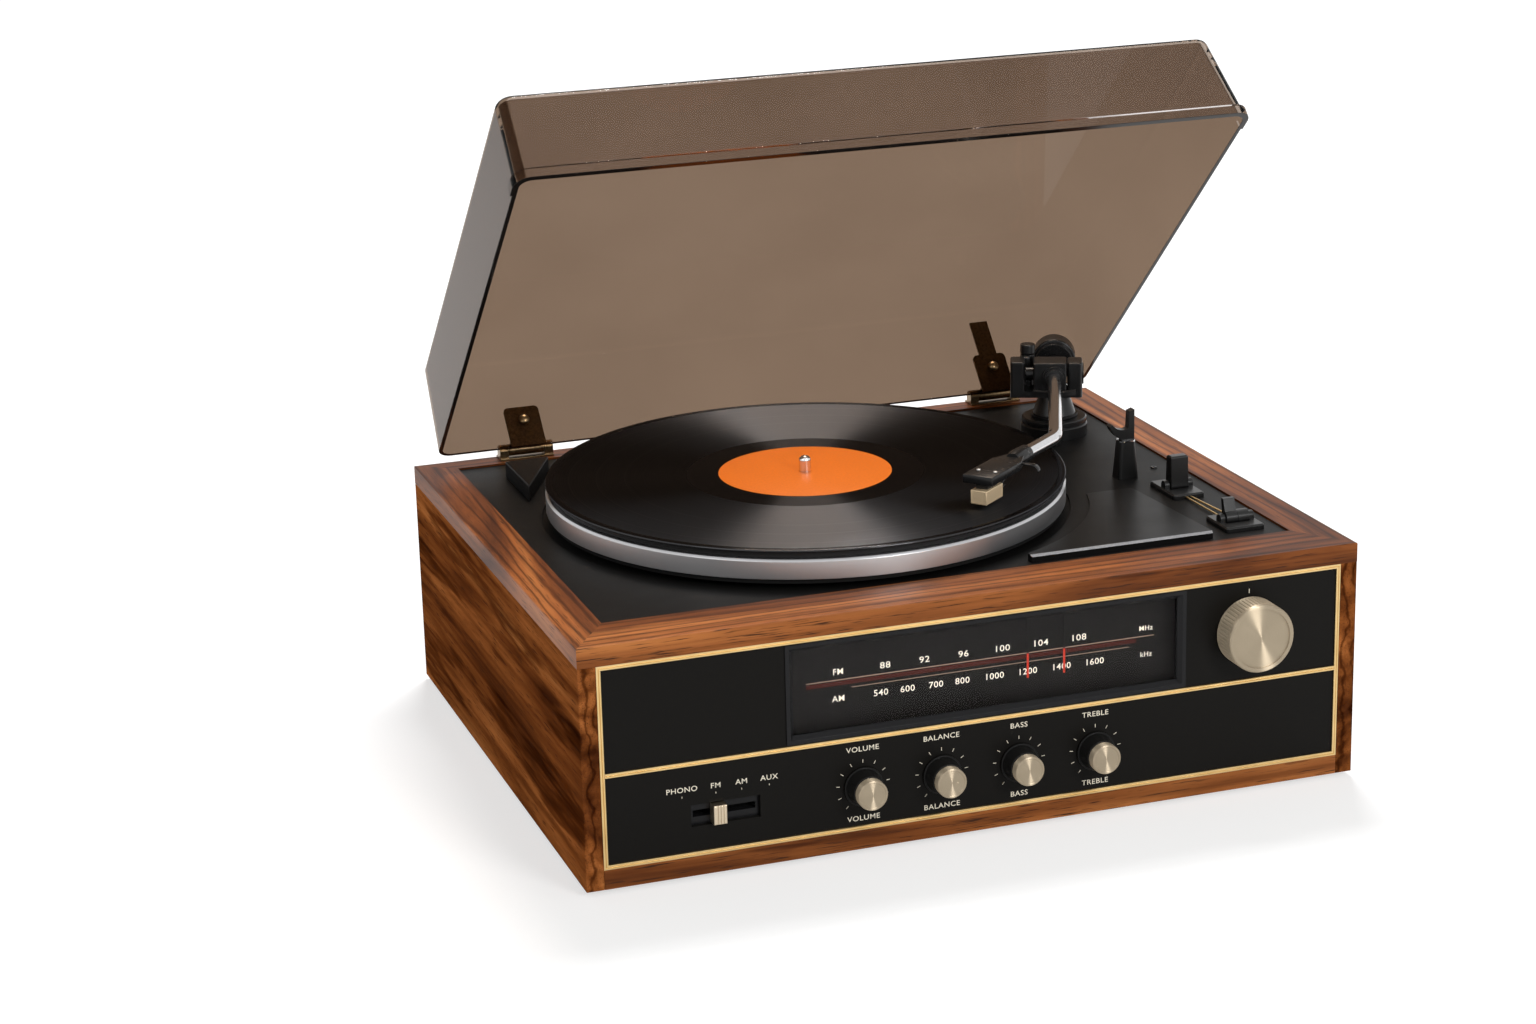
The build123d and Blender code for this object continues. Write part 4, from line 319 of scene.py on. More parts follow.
def fine_grain():
    """The slight unevenness of a made surface: its tone, its gloss and its grain."""
    group, start, end = group_of(
        "fine_grain",
        {"Place": "Vector", "Size": "Float", "Tone": "Float", "Gloss": "Float", "Spread": "Float", "Colour": "Color"},
        {"Colour": "Color", "Roughness": "Float", "Height": "Float"})
    grain = put(group, "TexNoise", {"Vector": start["Place"], "Scale": start["Size"], "Detail": 3.0})["Fac"]
    handling = put(group, "TexNoise", {"Vector": start["Place"], "Scale": 22.0, "Detail": 4.0})["Fac"]
    low = worked(group, "SUBTRACT", 1.0, start["Tone"])
    high = worked(group, "ADD", 1.0, start["Tone"])
    tone = put(group, "MapRange", {"Value": grain, "From Min": 0.3, "From Max": 0.7, "To Min": low, "To Max": high})[0]
    tinted = put(group, "VectorMath", {0: start["Colour"], "Scale": tone}, operation="SCALE")[0]
    centred = worked(group, "SUBTRACT", handling, 0.5)
    gloss = worked(group, "MULTIPLY_ADD", centred, start["Spread"], start["Gloss"])
    fed(group, end, {"Colour": tinted, "Roughness": gloss, "Height": grain})
    return group


grain_group = fine_grain()


def surface(name, colour, roughness, grain_size, grain_depth, metallic=0.0, tone=0.06, spread=0.16, shine=0.16):
    """A made surface: its colour, gloss and metal, and the size and depth of its grain in metres."""
    material, tree, shader = new_material(name, roughness, metallic)
    grain = put(tree, "Group", {"Place": put(tree, "TexCoord")["Object"], "Size": 1.0 / grain_size, "Tone": tone,
                                "Gloss": roughness, "Spread": spread, "Colour": (*colour, 1)}, node_tree=grain_group)
    fed(tree, shader, {"Base Color": grain["Colour"], "Roughness": grain["Roughness"], "Specular IOR Level": shine,
                       "Normal": bumped(tree, grain["Height"], 0.6, grain_depth)})
    return material


def raised(shape, faces, way):
    """Faces drawn out along a way; gives back the faces at their new place."""
    grown = bmesh.ops.extrude_face_region(shape, geom=faces)["geom"]
    bmesh.ops.translate(shape, verts=[v for v in grown if isinstance(v, bmesh.types.BMVert)], vec=way)
    return [item for item in grown if isinstance(item, bmesh.types.BMFace)]


def turned(profile, steps=96):
    """A closed turned form: points of (radius, height) spun round Z, with its faces outwards."""
    shape = bmesh.new()
    points = [shape.verts.new((radius, 0, height)) for radius, height in profile]
    edges = [shape.edges.new(pair) for pair in zip(points, points[1:])]
    bmesh.ops.spin(shape, geom=points + edges, cent=(0, 0, 0), axis=(0, 0, 1), angle=2 * pi, steps=steps,
                   use_merge=True)
    bmesh.ops.remove_doubles(shape, verts=shape.verts, dist=1e-7)
    bmesh.ops.recalc_face_normals(shape, faces=shape.faces)
    return shape


def placed(shape, place, axis=(0, 0, 1), spin=0.0):
    """The mesh with its Z on the axis and its origin at the place."""
    turn = Vector(axis).to_track_quat("Z", "Y").to_matrix().to_4x4()
    shape.transform(Matrix.Translation(place) @ turn @ Matrix.Rotation(spin, 4, "Z"))
    return shape


def add_to(whole, shape):
    """A mesh added to another, and used up."""
    part = bpy.data.meshes.new("part")
    shape.to_mesh(part)
    shape.free()
    whole.from_mesh(part)
    bpy.data.meshes.remove(part)


def piece_of(name, shapes, material, body, stands_for=(), sharp=35.0):
    """A finished piece from one or more meshes, riding on its body."""
    mesh = bpy.data.meshes.new(name)
    whole = bmesh.new()
    for shape in shapes if isinstance(shapes, list) else [shapes]:
        add_to(whole, shape)
    whole.to_mesh(mesh)
    whole.free()
    mesh.shade_smooth()
    mesh.set_sharp_from_angle(angle=radians(sharp))
    mesh.materials.append(material)
    piece = bpy.data.objects.new(name, mesh)
    bpy.context.collection.objects.link(piece)
    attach(piece, body)
    if stands_for:
        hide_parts(*stands_for)
    return piece


def box_shape(low, high):
    """A box between two corners."""
    shape = bmesh.new()
    bmesh.ops.create_cube(shape, size=1.0)
    size = Vector(high) - Vector(low)
    shape.transform(Matrix.Translation((Vector(low) + Vector(high)) / 2) @ Matrix.Diagonal((*size, 1)))
    return shape


def screw_shape(radius, height):
    """A pan-head screw seen from outside: a rounded rim, and a cross recess between four quarter blocks."""
    core = radius * 0.56
    slit = radius * 0.11
    depth = height * 0.6
    shape = turned([(core, 0), (radius, 0), (radius, height * 0.45), (radius * 0.9, height * 0.8),
                    (radius * 0.72, height * 0.97), (core, height), (core, 0)], 32)
    bmesh.ops.create_circle(shape, cap_ends=True, segments=24, radius=core * 1.02,
                            matrix=Matrix.Translation((0, 0, height - depth)))
    for quarter in range(4):
        block = bmesh.new()
        bmesh.ops.create_circle(block, cap_ends=True, segments=32, radius=core * 1.02,
                                matrix=Matrix.Translation((0, 0, height - depth)))
        for normal in ((1, 0, 0), (0, 1, 0)):
            cut(block, Vector(normal) * slit, normal, clear=True)
        raised(block, block.faces[:], (0, 0, depth * 0.99))
        bmesh.ops.recalc_face_normals(block, faces=block.faces)
        block.transform(Matrix.Rotation(quarter * pi / 2, 4, "Z"))
        add_to(shape, block)
    return shape


def screws(name, body, material, radius, height, spots):
    """Screw heads, one at each place with its outward direction, each turned a little its own way."""
    return piece_of(name, [placed(screw_shape(radius, height), place, axis, 0.7 * number)
                           for number, (place, axis) in enumerate(spots)], material, body)


mm = 0.001
hardboard = surface("hardboard", (0.110, 0.062, 0.032), 0.72, 1.2 * mm, 0.10 * mm, tone=0.25)
rubber = surface("foot_rubber", (0.016, 0.016, 0.016), 0.62, 0.35 * mm, 0.03 * mm, tone=0.15)
zinc = surface("zinc", (0.58, 0.58, 0.56), 0.32, 2.5 * mm, 0.004 * mm, metallic=1.0, tone=0.10)
eased("base_board", 0.2 * mm, hardboard)
eased("feet", 0.3 * mm, rubber)
foot_x, foot_y = 180 * mm, 140 * mm
foot_recess = 3.5 * mm
screws("foot_screws", "chassis", zinc, 3.9 * mm, 2.0 * mm,
       [((x, y, foot_recess), (0, 0, -1)) for x in (-foot_x, foot_x) for y in (-foot_y, foot_y)])

# Front panel: painted sheet behind a mitred brass moulding with a groove along its middle. The
# words and marks on it are silk-screened in pale ink.
panel_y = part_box("front_panel")[0][1]
trim_low, trim_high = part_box("brass_trim")
trim_width = 2.5 * mm
groove_width = 0.55 * mm
groove_depth = 0.35 * mm
divider_z = 66.3 * mm
panel_paint = surface("panel_paint", (0.0062, 0.0056, 0.0048), 0.42, 0.30 * mm, 0.012 * mm, tone=0.18, shine=0.08)


def clouds(tree, scale, detail=2.0):
    """Soft noise that stays with the piece."""
    return put(tree, "TexNoise", {"Vector": put(tree, "TexCoord")["Object"], "Scale": scale, "Detail": detail})["Fac"]


brass, brass_tree, brass_shader = new_material("trim_brass", 0.22, 1.0)
brass_clouds = clouds(brass_tree, 60.0, 3.0)
fed(brass_tree, brass_shader, {
    "Base Color": ramp(brass_tree, brass_clouds, (0.3, (0.66, 0.46, 0.20)), (0.7, (0.74, 0.54, 0.26))),
    "Roughness": put(brass_tree, "MapRange", {"Value": brass_clouds, "To Min": 0.26, "To Max": 0.34})[0]})


def moulding(length, plain_low, plain_high):
    """One length of the brass moulding along X with its groove, mitred at the ends that aren't plain."""
    half = trim_width / 2
    lip = groove_width / 2
    crown = trim_high[1] - trim_low[1]
    shape = bmesh.new()
    outline = [(-half, 0), (-half, -crown * 0.8), (-half * 0.8, -crown), (-lip, -crown), (0, -crown + groove_depth),
               (lip, -crown), (half * 0.8, -crown), (half, -crown * 0.8), (half, 0)]
    profile = shape.faces.new([shape.verts.new((-length / 2, y, z)) for z, y in outline])
    raised(shape, [profile], (length, 0, 0))
    for vert in shape.verts:
        if vert.co.x < 0 and not plain_low:
            vert.co.x += vert.co.z + half
        if vert.co.x > 0 and not plain_high:
            vert.co.x -= vert.co.z + half
    bmesh.ops.recalc_face_normals(shape, faces=shape.faces)
    return shape


def laid(shape, centre, turn):
    """A length of moulding turned about Y and moved into its place on the panel."""
    shape.transform(Matrix.Translation(centre) @ Matrix.Rotation(turn, 4, "Y"))
    return shape


trim_wide = trim_high[0] - trim_low[0]
trim_tall = trim_high[2] - trim_low[2]
middle = ((trim_low[0] + trim_high[0]) / 2, (trim_low[2] + trim_high[2]) / 2)
edge = trim_width / 2
trim_back = trim_high[1]
trim_lengths = [
    laid(moulding(trim_wide, False, False), (middle[0], trim_back, trim_low[2] + edge), 0),
    laid(moulding(trim_wide, False, False), (middle[0], trim_back, trim_high[2] - edge), pi),
    laid(moulding(trim_tall, False, False), (trim_low[0] + edge, trim_back, middle[1]), pi / 2),
    laid(moulding(trim_tall, False, False), (trim_high[0] - edge, trim_back, middle[1]), -pi / 2),
    laid(moulding(trim_wide - 2 * trim_width, True, True), (middle[0], trim_back, divider_z), 0)]
piece_of("brass_moulding", trim_lengths, brass, "chassis", ["brass_trim"], 25)
eased("front_panel", 0.15 * mm, panel_paint)

ink = surface("pale_ink", (0.86, 0.80, 0.66), 0.5, 0.25 * mm, 0.004 * mm, tone=0.08)
ink_depth = 0.06 * mm


def printed(words, x, z, tall, face_y, narrow=1.0):
    """Words printed on a face that looks to the front, centred at x and z, with capitals that tall."""
    curve = bpy.data.curves.new("words", "FONT")
    curve.body = words
    curve.align_x = "CENTER"
    curve.align_y = "CENTER"
    curve.size = tall / 0.70
    curve.space_character = 1.08
    curve.offset = tall * 0.007
    curve.resolution_u = 3
    holder = bpy.data.objects.new("words", curve)
    flat = bpy.data.meshes.new_from_object(holder)
    bpy.data.objects.remove(holder)
    bpy.data.curves.remove(curve)
    shape = bmesh.new()
    shape.from_mesh(flat)
    bpy.data.meshes.remove(flat)
    bmesh.ops.remove_doubles(shape, verts=shape.verts, dist=1e-7)
    raised(shape, shape.faces[:], (0, 0, ink_depth))
    bmesh.ops.recalc_face_normals(shape, faces=shape.faces)
    shape.transform(Matrix.Translation((x, face_y, z)) @ Matrix.Rotation(pi / 2, 4, "X")
                    @ Matrix.Diagonal((narrow, 1, 1, 1)))
    return shape


def ink_bar(face_y, left, right, low, high):
    """A bar of ink on a face that looks to the front, with its sides in millimetres."""
    return box_shape((left * mm, face_y - ink_depth, low * mm), (right * mm, face_y, high * mm))


knob_x = [(-68.8 + 45.1 * i) * mm for i in range(4)]
knob_z = 38.8 * mm
tuning_x, tuning_z = 158.4 * mm, 95.7 * mm
word_tall = 2.9 * mm
words = []
for x, name in zip(knob_x, ("VOLUME", "BALANCE", "BASS", "TREBLE")):
    words += [printed(name, x, z * mm, word_tall, panel_y, 1.10) for z in (60.0, 20.5)]
for name, x in (("PHONO", -170.0), ("FM", -151.3), ("AM", -137.0), ("AUX", -121.6)):
    words += [printed(name, x * mm, 51.9 * mm, word_tall, panel_y, 1.10),
              ink_bar(panel_y, x - 0.16, x + 0.16, 47.4, 48.4)]
tick_first, tick_step, tick_count = 140, 28, 11
for x in knob_x:
    for number in range(tick_count):
        angle = radians(tick_first - tick_step * number)
        tick = box_shape((-0.16 * mm, -ink_depth, 13.4 * mm), (0.16 * mm, 0, 15.3 * mm))
        tick.transform(Matrix.Translation((x, panel_y, knob_z)) @ Matrix.Rotation(-angle, 4, "Y"))
        words.append(tick)
words.append(ink_bar(panel_y, 158.2, 158.6, 117.2, 119.7))
piece_of("panel_lettering", words, ink, "chassis")

# Tuning dial: a moulded bezel round clear glass, and behind it a dark plate printed with the two
# scales. Two red needles run on a rail along the top.
bezel_plastic = surface("bezel_plastic", (0.010, 0.010, 0.011), 0.24, 0.6 * mm, 0.004 * mm, tone=0.10)
eased("dial_bezel", 0.25 * mm, bezel_plastic)
dial_paint = surface("dial_paint", (0.007, 0.006, 0.006), 0.55, 0.4 * mm, 0.01 * mm, tone=0.2)
eased("dial_plate", 0.1 * mm, dial_paint)
eased("dial_box", 0.1 * mm, dial_paint)
glass, glass_tree, glass_shader = new_material("dial_glass", 0.0)
fed(glass_tree, glass_shader, {
    "Base Color": ramp(glass_tree, clouds(glass_tree, 60.0), (0.0, (0.86, 0.85, 0.83)), (1.0, (0.95, 0.94, 0.92))),
    "Transmission Weight": 1.0, "IOR": 1.14})
eased("dial_glass", 0.2 * mm, glass)

plate_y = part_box("dial_plate")[0][1]
digit_tall = 3.5 * mm
fm_first, fm_pitch = -50.7, 22.5
fm_z, am_z = 100.7 * mm, 85.5 * mm
scales = [printed("FM", -77.5 * mm, fm_z, 3.4 * mm, plate_y), printed("AM", -77.5 * mm, am_z, 3.4 * mm, plate_y),
          printed("MHz", 102.0 * mm, fm_z, 2.9 * mm, plate_y), printed("kHz", 102.2 * mm, am_z, 2.9 * mm, plate_y)]
for number in range(6):
    scales.append(printed(str(88 + 4 * number), (fm_first + fm_pitch * number) * mm, fm_z, digit_tall, plate_y, 1.20))
for name, x in ((540, -53.4), (600, -38.1), (700, -21.7), (800, -6.4), (1000, 12.2), (1200, 31.7), (1400, 51.6),
                (1600, 71.3)):
    scales.append(printed(str(name), x * mm, am_z, digit_tall, plate_y, 1.08))
# The scales, scale lines, red band and needles glow: painted light that no lamp in the scene gives.
glowing_ink = surface("glowing_ink", (0.84, 0.80, 0.70), 0.5, 0.3 * mm, 0.004 * mm, tone=0.08)


def lit(material, strength):
    """What is printed on the plate glows: painted light, standing for a dial lamp behind the plate and for the room's
    light that the glass keeps from it.
    """
    tree = material.node_tree
    shader = tree.nodes["Principled BSDF"]
    tree.links.new(shader.inputs["Base Color"].links[0].from_socket, shader.inputs["Emission Color"])
    shader.inputs["Emission Strength"].default_value = strength


lit(glowing_ink, 0.62)
piece_of("dial_scales", scales, glowing_ink, "chassis")
scale_ink = surface("scale_ink", (0.42, 0.30, 0.22), 0.5, 0.3 * mm, 0.004 * mm, tone=0.15)
lit(scale_ink, 0.5)
piece_of("scale_lines", [ink_bar(plate_y, -95.6, 107.0, 96.0, 96.35), ink_bar(plate_y, -70.0, 92.0, 91.0, 91.25)],
         scale_ink, "chassis")
scale_red = surface("scale_red", (0.060, 0.009, 0.006), 0.5, 0.5 * mm, 0.004 * mm, tone=0.3)
lit(scale_red, 0.3)
piece_of("scale_band", ink_bar(plate_y, -95.6, 96.0, 93.1, 95.4), scale_red, "chassis")
# The needles glow too: painted light.
needle_red = surface("needle_red", (0.56, 0.036, 0.014), 0.38, 0.3 * mm, 0.004 * mm, tone=0.1)
lit(needle_red, 0.35)
pointer = eased("dial_pointer", 0.1 * mm, [needle_red, dial_paint])
red_top = 97.5 * mm
shape = bmesh.new()
shape.from_mesh(pointer.data)
cut(shape, (0, 0, red_top), (0, 0, 1))
for face in shape.faces:
    face.material_index = 1 if face.calc_center_median().z > red_top else 0
shape.to_mesh(pointer.data)
shape.free()

# Knobs: a moulded black skirt with a spun aluminium cap for each tone control, and one large turned
# aluminium knob with a fine knurl for tuning. The turning marks show as fans of light on each face.


def turned_about():
    """How far a point lies from the axis that a lathe's marks run round."""
    group, start, end = group_of("turned_about", {"Place": "Vector", "Centre": "Vector", "Axis": "Vector"},
                                 {"Radius": "Float"})
    away = put(group, "VectorMath", {0: start["Place"], 1: start["Centre"]}, operation="SUBTRACT")[0]
    across = put(group, "VectorMath", {0: start["Axis"], 1: away}, operation="CROSS_PRODUCT")[0]
    fed(group, end, {"Radius": put(group, "VectorMath", {0: across}, operation="LENGTH")["Value"]})
    return group


turned_group = turned_about()


def radius_about(tree, place, centre, axis):
    """A point's distance from an axis through a centre."""
    return put(tree, "Group", {"Place": place, "Centre": centre, "Axis": axis}, node_tree=turned_group)["Radius"]


def marked_round(tree, shader, place, centre, axis, anisotropic):
    """The sheen of marks that run round an axis: a highlight drawn out across them, from the centre."""
    away = put(tree, "VectorMath", {0: place, 1: centre}, operation="SUBTRACT")[0]
    round_way = put(tree, "VectorMath", {0: axis, 1: away}, operation="CROSS_PRODUCT")[0]
    to_world = put(tree, "VectorTransform", {0: round_way}, vector_type="VECTOR", convert_from="OBJECT",
                   convert_to="WORLD")[0]
    unit = put(tree, "VectorMath", {0: to_world}, operation="NORMALIZE")[0]
    fed(tree, shader, {"Tangent": unit, "Anisotropic": anisotropic, "Anisotropic Rotation": 0.25})


def spun_metal(name, colour, roughness, centre, axis, mark_size, mark_depth, anisotropic=0.8, tone=0.10):
    """Turned metal whose marks run round the axis through the centre."""
    material, tree, shader = new_material(name, roughness, 1.0)
    place = put(tree, "TexCoord")["Object"]
    marked_round(tree, shader, place, centre, axis, anisotropic)
    marks = put(tree, "TexNoise", {"W": radius_about(tree, place, centre, axis), "Scale": 1.0 / mark_size,
                                   "Detail": 4.0}, noise_dimensions="1D")["Fac"]
    dark, light = ([min(1.0, c * (1 + way * tone)) for c in colour] for way in (-1, 1))
    fed(tree, shader, {"Base Color": ramp(tree, marks, (0.3, dark), (0.7, light)),
                       "Normal": bumped(tree, marks, 0.5, mark_depth)})
    return material


champagne = (0.43, 0.357, 0.258)
skirt_plastic = surface("skirt_plastic", (0.0090, 0.0088, 0.0085), 0.38, 0.35 * mm, 0.01 * mm, tone=0.12)
for x, name in zip(knob_x, ("volume", "balance", "bass", "treble")):
    eased(name + "_knob", 0, skirt_plastic)
    low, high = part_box(name + "_cap")
    radius = (high[0] - low[0]) / 2
    tall = high[1] - low[1]
    cap = turned([(0, tall - 0.35 * mm), (radius - 1.5 * mm, tall - 0.35 * mm), (radius - 1.1 * mm, tall),
                  (radius - 0.5 * mm, tall), (radius - 0.15 * mm, tall - 0.2 * mm), (radius, tall - 0.6 * mm),
                  (radius, 0.3 * mm), (radius - 0.3 * mm, 0), (0, 0)])
    placed(cap, (x, high[1], knob_z), (0, -1, 0))
    metal = spun_metal(name + "_cap_metal", champagne, 0.42, (x, 0, knob_z), (0, 1, 0), 0.12 * mm, 0.004 * mm, 1.0)
    piece_of(name + "_cap_piece", cap, metal, name, [name + "_cap"])
tuning_metal = spun_metal("tuning_metal", champagne, 0.42, (tuning_x, 0, tuning_z), (0, 1, 0), 0.14 * mm,
                          0.004 * mm, 1.0)
eased("tuning_knob", 0, tuning_metal)
finish_of("tuning_shaft", zinc)
finish_of("panel_controls", zinc)
slider_metal = surface("slider_metal", (0.62, 0.52, 0.38), 0.34, 0.5 * mm, 0.004 * mm, metallic=1.0, tone=0.10)
eased("selector_slider", 0.2 * mm, slider_metal)
finish_of("selector_switch", bezel_plastic)

# Deck: a black textured metal plate dropped into the wooden frame and screwed down, with a raised
# board beside the platter and a small block in the back corner. Its front bevels that face forward and up are painted a
# pale metal: a painted highlight.
deck_paint = surface("deck_paint", (0.0068, 0.0066, 0.0064), 0.42, 0.45 * mm, 0.05 * mm, tone=0.25, spread=0.2,
                     shine=0.05)
board_paint = surface("board_paint", (0.0065, 0.0064, 0.0064), 0.36, 0.40 * mm, 0.03 * mm, tone=0.2, shine=0.06)
# Painted highlight: a pale grey metal for the eased edges that face forward and up, where light catches the bevels.
painted_edge_highlight = surface("painted_edge_highlight", (0.30, 0.30, 0.31), 0.34, 0.8 * mm, 0.01 * mm, metallic=0.85, tone=0.2)
deck_edge_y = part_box("deck_plate")[0][1] + 1.0 * mm
deck = eased("deck_plate", 0.3 * mm, [deck_paint, painted_edge_highlight], edges_as=1)
board = eased("raised_board", 0.45 * mm, [board_paint, painted_edge_highlight], edges_as=1)
# Bevel faces along the front that look forward and up take the painted highlight.
for piece, front in ((deck, deck_edge_y), (board, 0.0)):
    for face in piece.data.polygons:
        catches_light = face.normal.y < -0.2 and face.normal.z > 0.2 and face.center.y < front
        face.material_index = 1 if catches_light else 0
eased("corner_block", 0.5 * mm, board_paint)
deck_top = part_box("deck_plate")[1][2]
black_screw = surface("black_screw", (0.020, 0.020, 0.020), 0.30, 0.4 * mm, 0.004 * mm, metallic=0.6, tone=0.2)
screws("deck_screw", "chassis", black_screw, 2.0 * mm, 0.9 * mm,
       [((185.8 * mm, -1.3 * mm, deck_top), (0, 0, 1))])

# Turntable: a turned aluminium platter, black below its rim, on a moulded sub-platter,
# under a ribbed rubber mat.
platter_centre = (-31.5 * mm, 9.0 * mm, 0)
platter_metal = spun_metal("platter_metal", (0.52, 0.52, 0.53), 0.30, platter_centre, (0, 0, 1), 1.1 * mm,
                           0.003 * mm, 0.5, 0.06)
rim_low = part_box("platter")[0][2] + 2.8 * mm
hub_plastic = surface("hub_plastic", (0.011, 0.011, 0.011), 0.36, 0.6 * mm, 0.01 * mm, tone=0.15)
platter = eased("platter", 0.4 * mm, [platter_metal, hub_plastic])
# Faces below the rim take the black plastic of the sub-platter.
for face in platter.data.polygons:
    face.material_index = 1 if face.center.z < rim_low - 1e-5 else 0
finish_of("sub_platter", hub_plastic)
finish_of("bearing_housing", zinc)
finish_of("motor", zinc)
finish_of("motor_pulley", zinc)
belt_rubber = surface("belt_rubber", (0.014, 0.014, 0.014), 0.55, 0.5 * mm, 0.01 * mm, tone=0.2)
finish_of("drive_belt", belt_rubber)

mat_low, mat_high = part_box("slip_mat")
mat_radius = (mat_high[0] - mat_low[0]) / 2
rib_pitch = 6.0 * mm
rib_profile = [(3.65 * mm, mat_low[2]), (mat_radius - 0.4 * mm, mat_low[2]), (mat_radius, mat_low[2] + 0.4 * mm),
               (mat_radius, mat_high[2] - 0.6 * mm), (mat_radius - 0.6 * mm, mat_high[2])]
for rib in range(int((mat_radius - 12 * mm) / rib_pitch)):
    reach = mat_radius - 4 * mm - rib * rib_pitch
    rib_profile += [(reach, mat_high[2]), (reach - 0.5 * mm, mat_high[2] - 0.7 * mm),
                    (reach - 2.0 * mm, mat_high[2] - 0.7 * mm), (reach - 2.5 * mm, mat_high[2])]
rib_profile += [(3.65 * mm, mat_high[2]), (3.65 * mm, mat_low[2])]
mat_rubber = surface("mat_rubber", (0.015, 0.015, 0.0155), 0.52, 0.4 * mm, 0.01 * mm, tone=0.15)
piece_of("rubber_mat", placed(turned(rib_profile, 128), platter_centre), mat_rubber, "platter_body",
         ["slip_mat"])

# Record: pressed vinyl with a bead round its edge and a dead band by the label, a paper label pressed
# into it, and the chromed spindle through its hole. The walls of its grooves mirror the lamps, so the
# vinyl is set as a very dark metal.
vinyl, vinyl_tree, vinyl_shader = new_material("vinyl", 0.20, 1.0)
vinyl_place = put(vinyl_tree, "TexCoord")["Object"]
marked_round(vinyl_tree, vinyl_shader, vinyl_place, platter_centre, (0, 0, 1), 1.0)
vinyl_radius = radius_about(vinyl_tree, vinyl_place, platter_centre, (0, 0, 1))
groove_reach = 150.5 * mm
share = worked(vinyl_tree, "DIVIDE", vinyl_radius, groove_reach)
bands = ((0.0, 0.0), (0.455, 1.0), (0.575, 0.55), (0.578, 1.0), (0.690, 0.55), (0.693, 1.0), (0.800, 0.55),
         (0.803, 1.0), (0.905, 0.55), (0.908, 1.0), (0.965, 0.0))
grooved = ramp(vinyl_tree, share, *[(place, [amount] * 3) for place, amount in bands], interpolation="CONSTANT")
groove_noise = put(vinyl_tree, "TexNoise", {"W": vinyl_radius, "Scale": 1 / (0.5 * mm), "Detail": 5.0},
                   noise_dimensions="1D")["Fac"]
vinyl_gloss = put(vinyl_tree, "MapRange", {"Value": grooved, "To Min": 0.16, "To Max": 0.36})[0]
wear = worked(vinyl_tree, "MULTIPLY_ADD", groove_noise, 0.06, vinyl_gloss)
vinyl_tone = ramp(vinyl_tree, groove_noise, (0.3, (0.028, 0.028, 0.029)), (0.7, (0.078, 0.079, 0.083)))
groove_rise = worked(vinyl_tree, "MULTIPLY", groove_noise, grooved)
fed(vinyl_tree, vinyl_shader, {"Base Color": vinyl_tone, "Roughness": wear, "Specular Tint": (0.47, 0.47, 0.48, 1),
                               "Normal": bumped(vinyl_tree, groove_rise, 0.5, 0.012 * mm)})

disc_low, disc_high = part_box("record_disc")
disc_radius = (disc_high[0] - disc_low[0]) / 2
disc_hole = 3.65 * mm
label_radius = 50.2 * mm
bottom, top = disc_low[2], disc_high[2]
disc_profile = [(disc_hole, bottom), (disc_radius - 0.8 * mm, bottom), (disc_radius - 0.25 * mm, bottom + 0.25 * mm),
                (disc_radius, bottom + 0.8 * mm), (disc_radius - 0.25 * mm, top - 0.25 * mm),
                (disc_radius - 0.8 * mm, top), (disc_radius - 3.0 * mm, top), (disc_radius - 4.6 * mm, top - 0.24 * mm),
                (label_radius + 5.0 * mm, top - 0.24 * mm), (label_radius + 3.4 * mm, top - 0.15 * mm),
                (label_radius + 0.4 * mm, top - 0.15 * mm), (label_radius, top - 0.2 * mm), (disc_hole, top - 0.2 * mm),
                (disc_hole, bottom)]
piece_of("record", placed(turned(disc_profile, 192), platter_centre), vinyl, "platter_body",
         ["record_disc"], 50)

label_paper, label_tree, label_shader = new_material("label_paper", 0.42)
label_distance = radius_about(label_tree, put(label_tree, "TexCoord")["Object"], platter_centre, (0, 0, 1))
fibres = clouds(label_tree, 700.0, 5.0)
pressing = worked(label_tree, "PINGPONG", label_distance, 8.0 * mm)
ring_line = put(label_tree, "MapRange", {"Value": pressing, "From Max": 0.5 * mm}, interpolation_type="SMOOTHSTEP")[0]
label_rise = worked(label_tree, "MULTIPLY_ADD", fibres, 0.3, ring_line)
fed(label_tree, label_shader, {
    "Base Color": ramp(label_tree, fibres, (0.3, (0.70, 0.158, 0.010)), (0.7, (0.80, 0.190, 0.014))),
    "Roughness": put(label_tree, "MapRange", {"Value": fibres, "To Min": 0.34, "To Max": 0.48})[0],
    "Specular IOR Level": 0.12, "Normal": bumped(label_tree, label_rise, 0.4, 0.05 * mm)})
label_thick = 0.2 * mm
label_profile = [(disc_hole, top - label_thick), (label_radius, top - label_thick), (label_radius, top - 0.05 * mm),
                 (label_radius - 0.15 * mm, top), (disc_hole, top), (disc_hole, top - label_thick)]
piece_of("paper_label", placed(turned(label_profile, 128), platter_centre), label_paper, "platter_body",
         ["record_label"])
chrome = surface("chrome", (0.74, 0.74, 0.75), 0.10, 3.0 * mm, 0.002 * mm, metallic=1.0, tone=0.04, spread=0.08)
eased("spindle", 0, chrome)

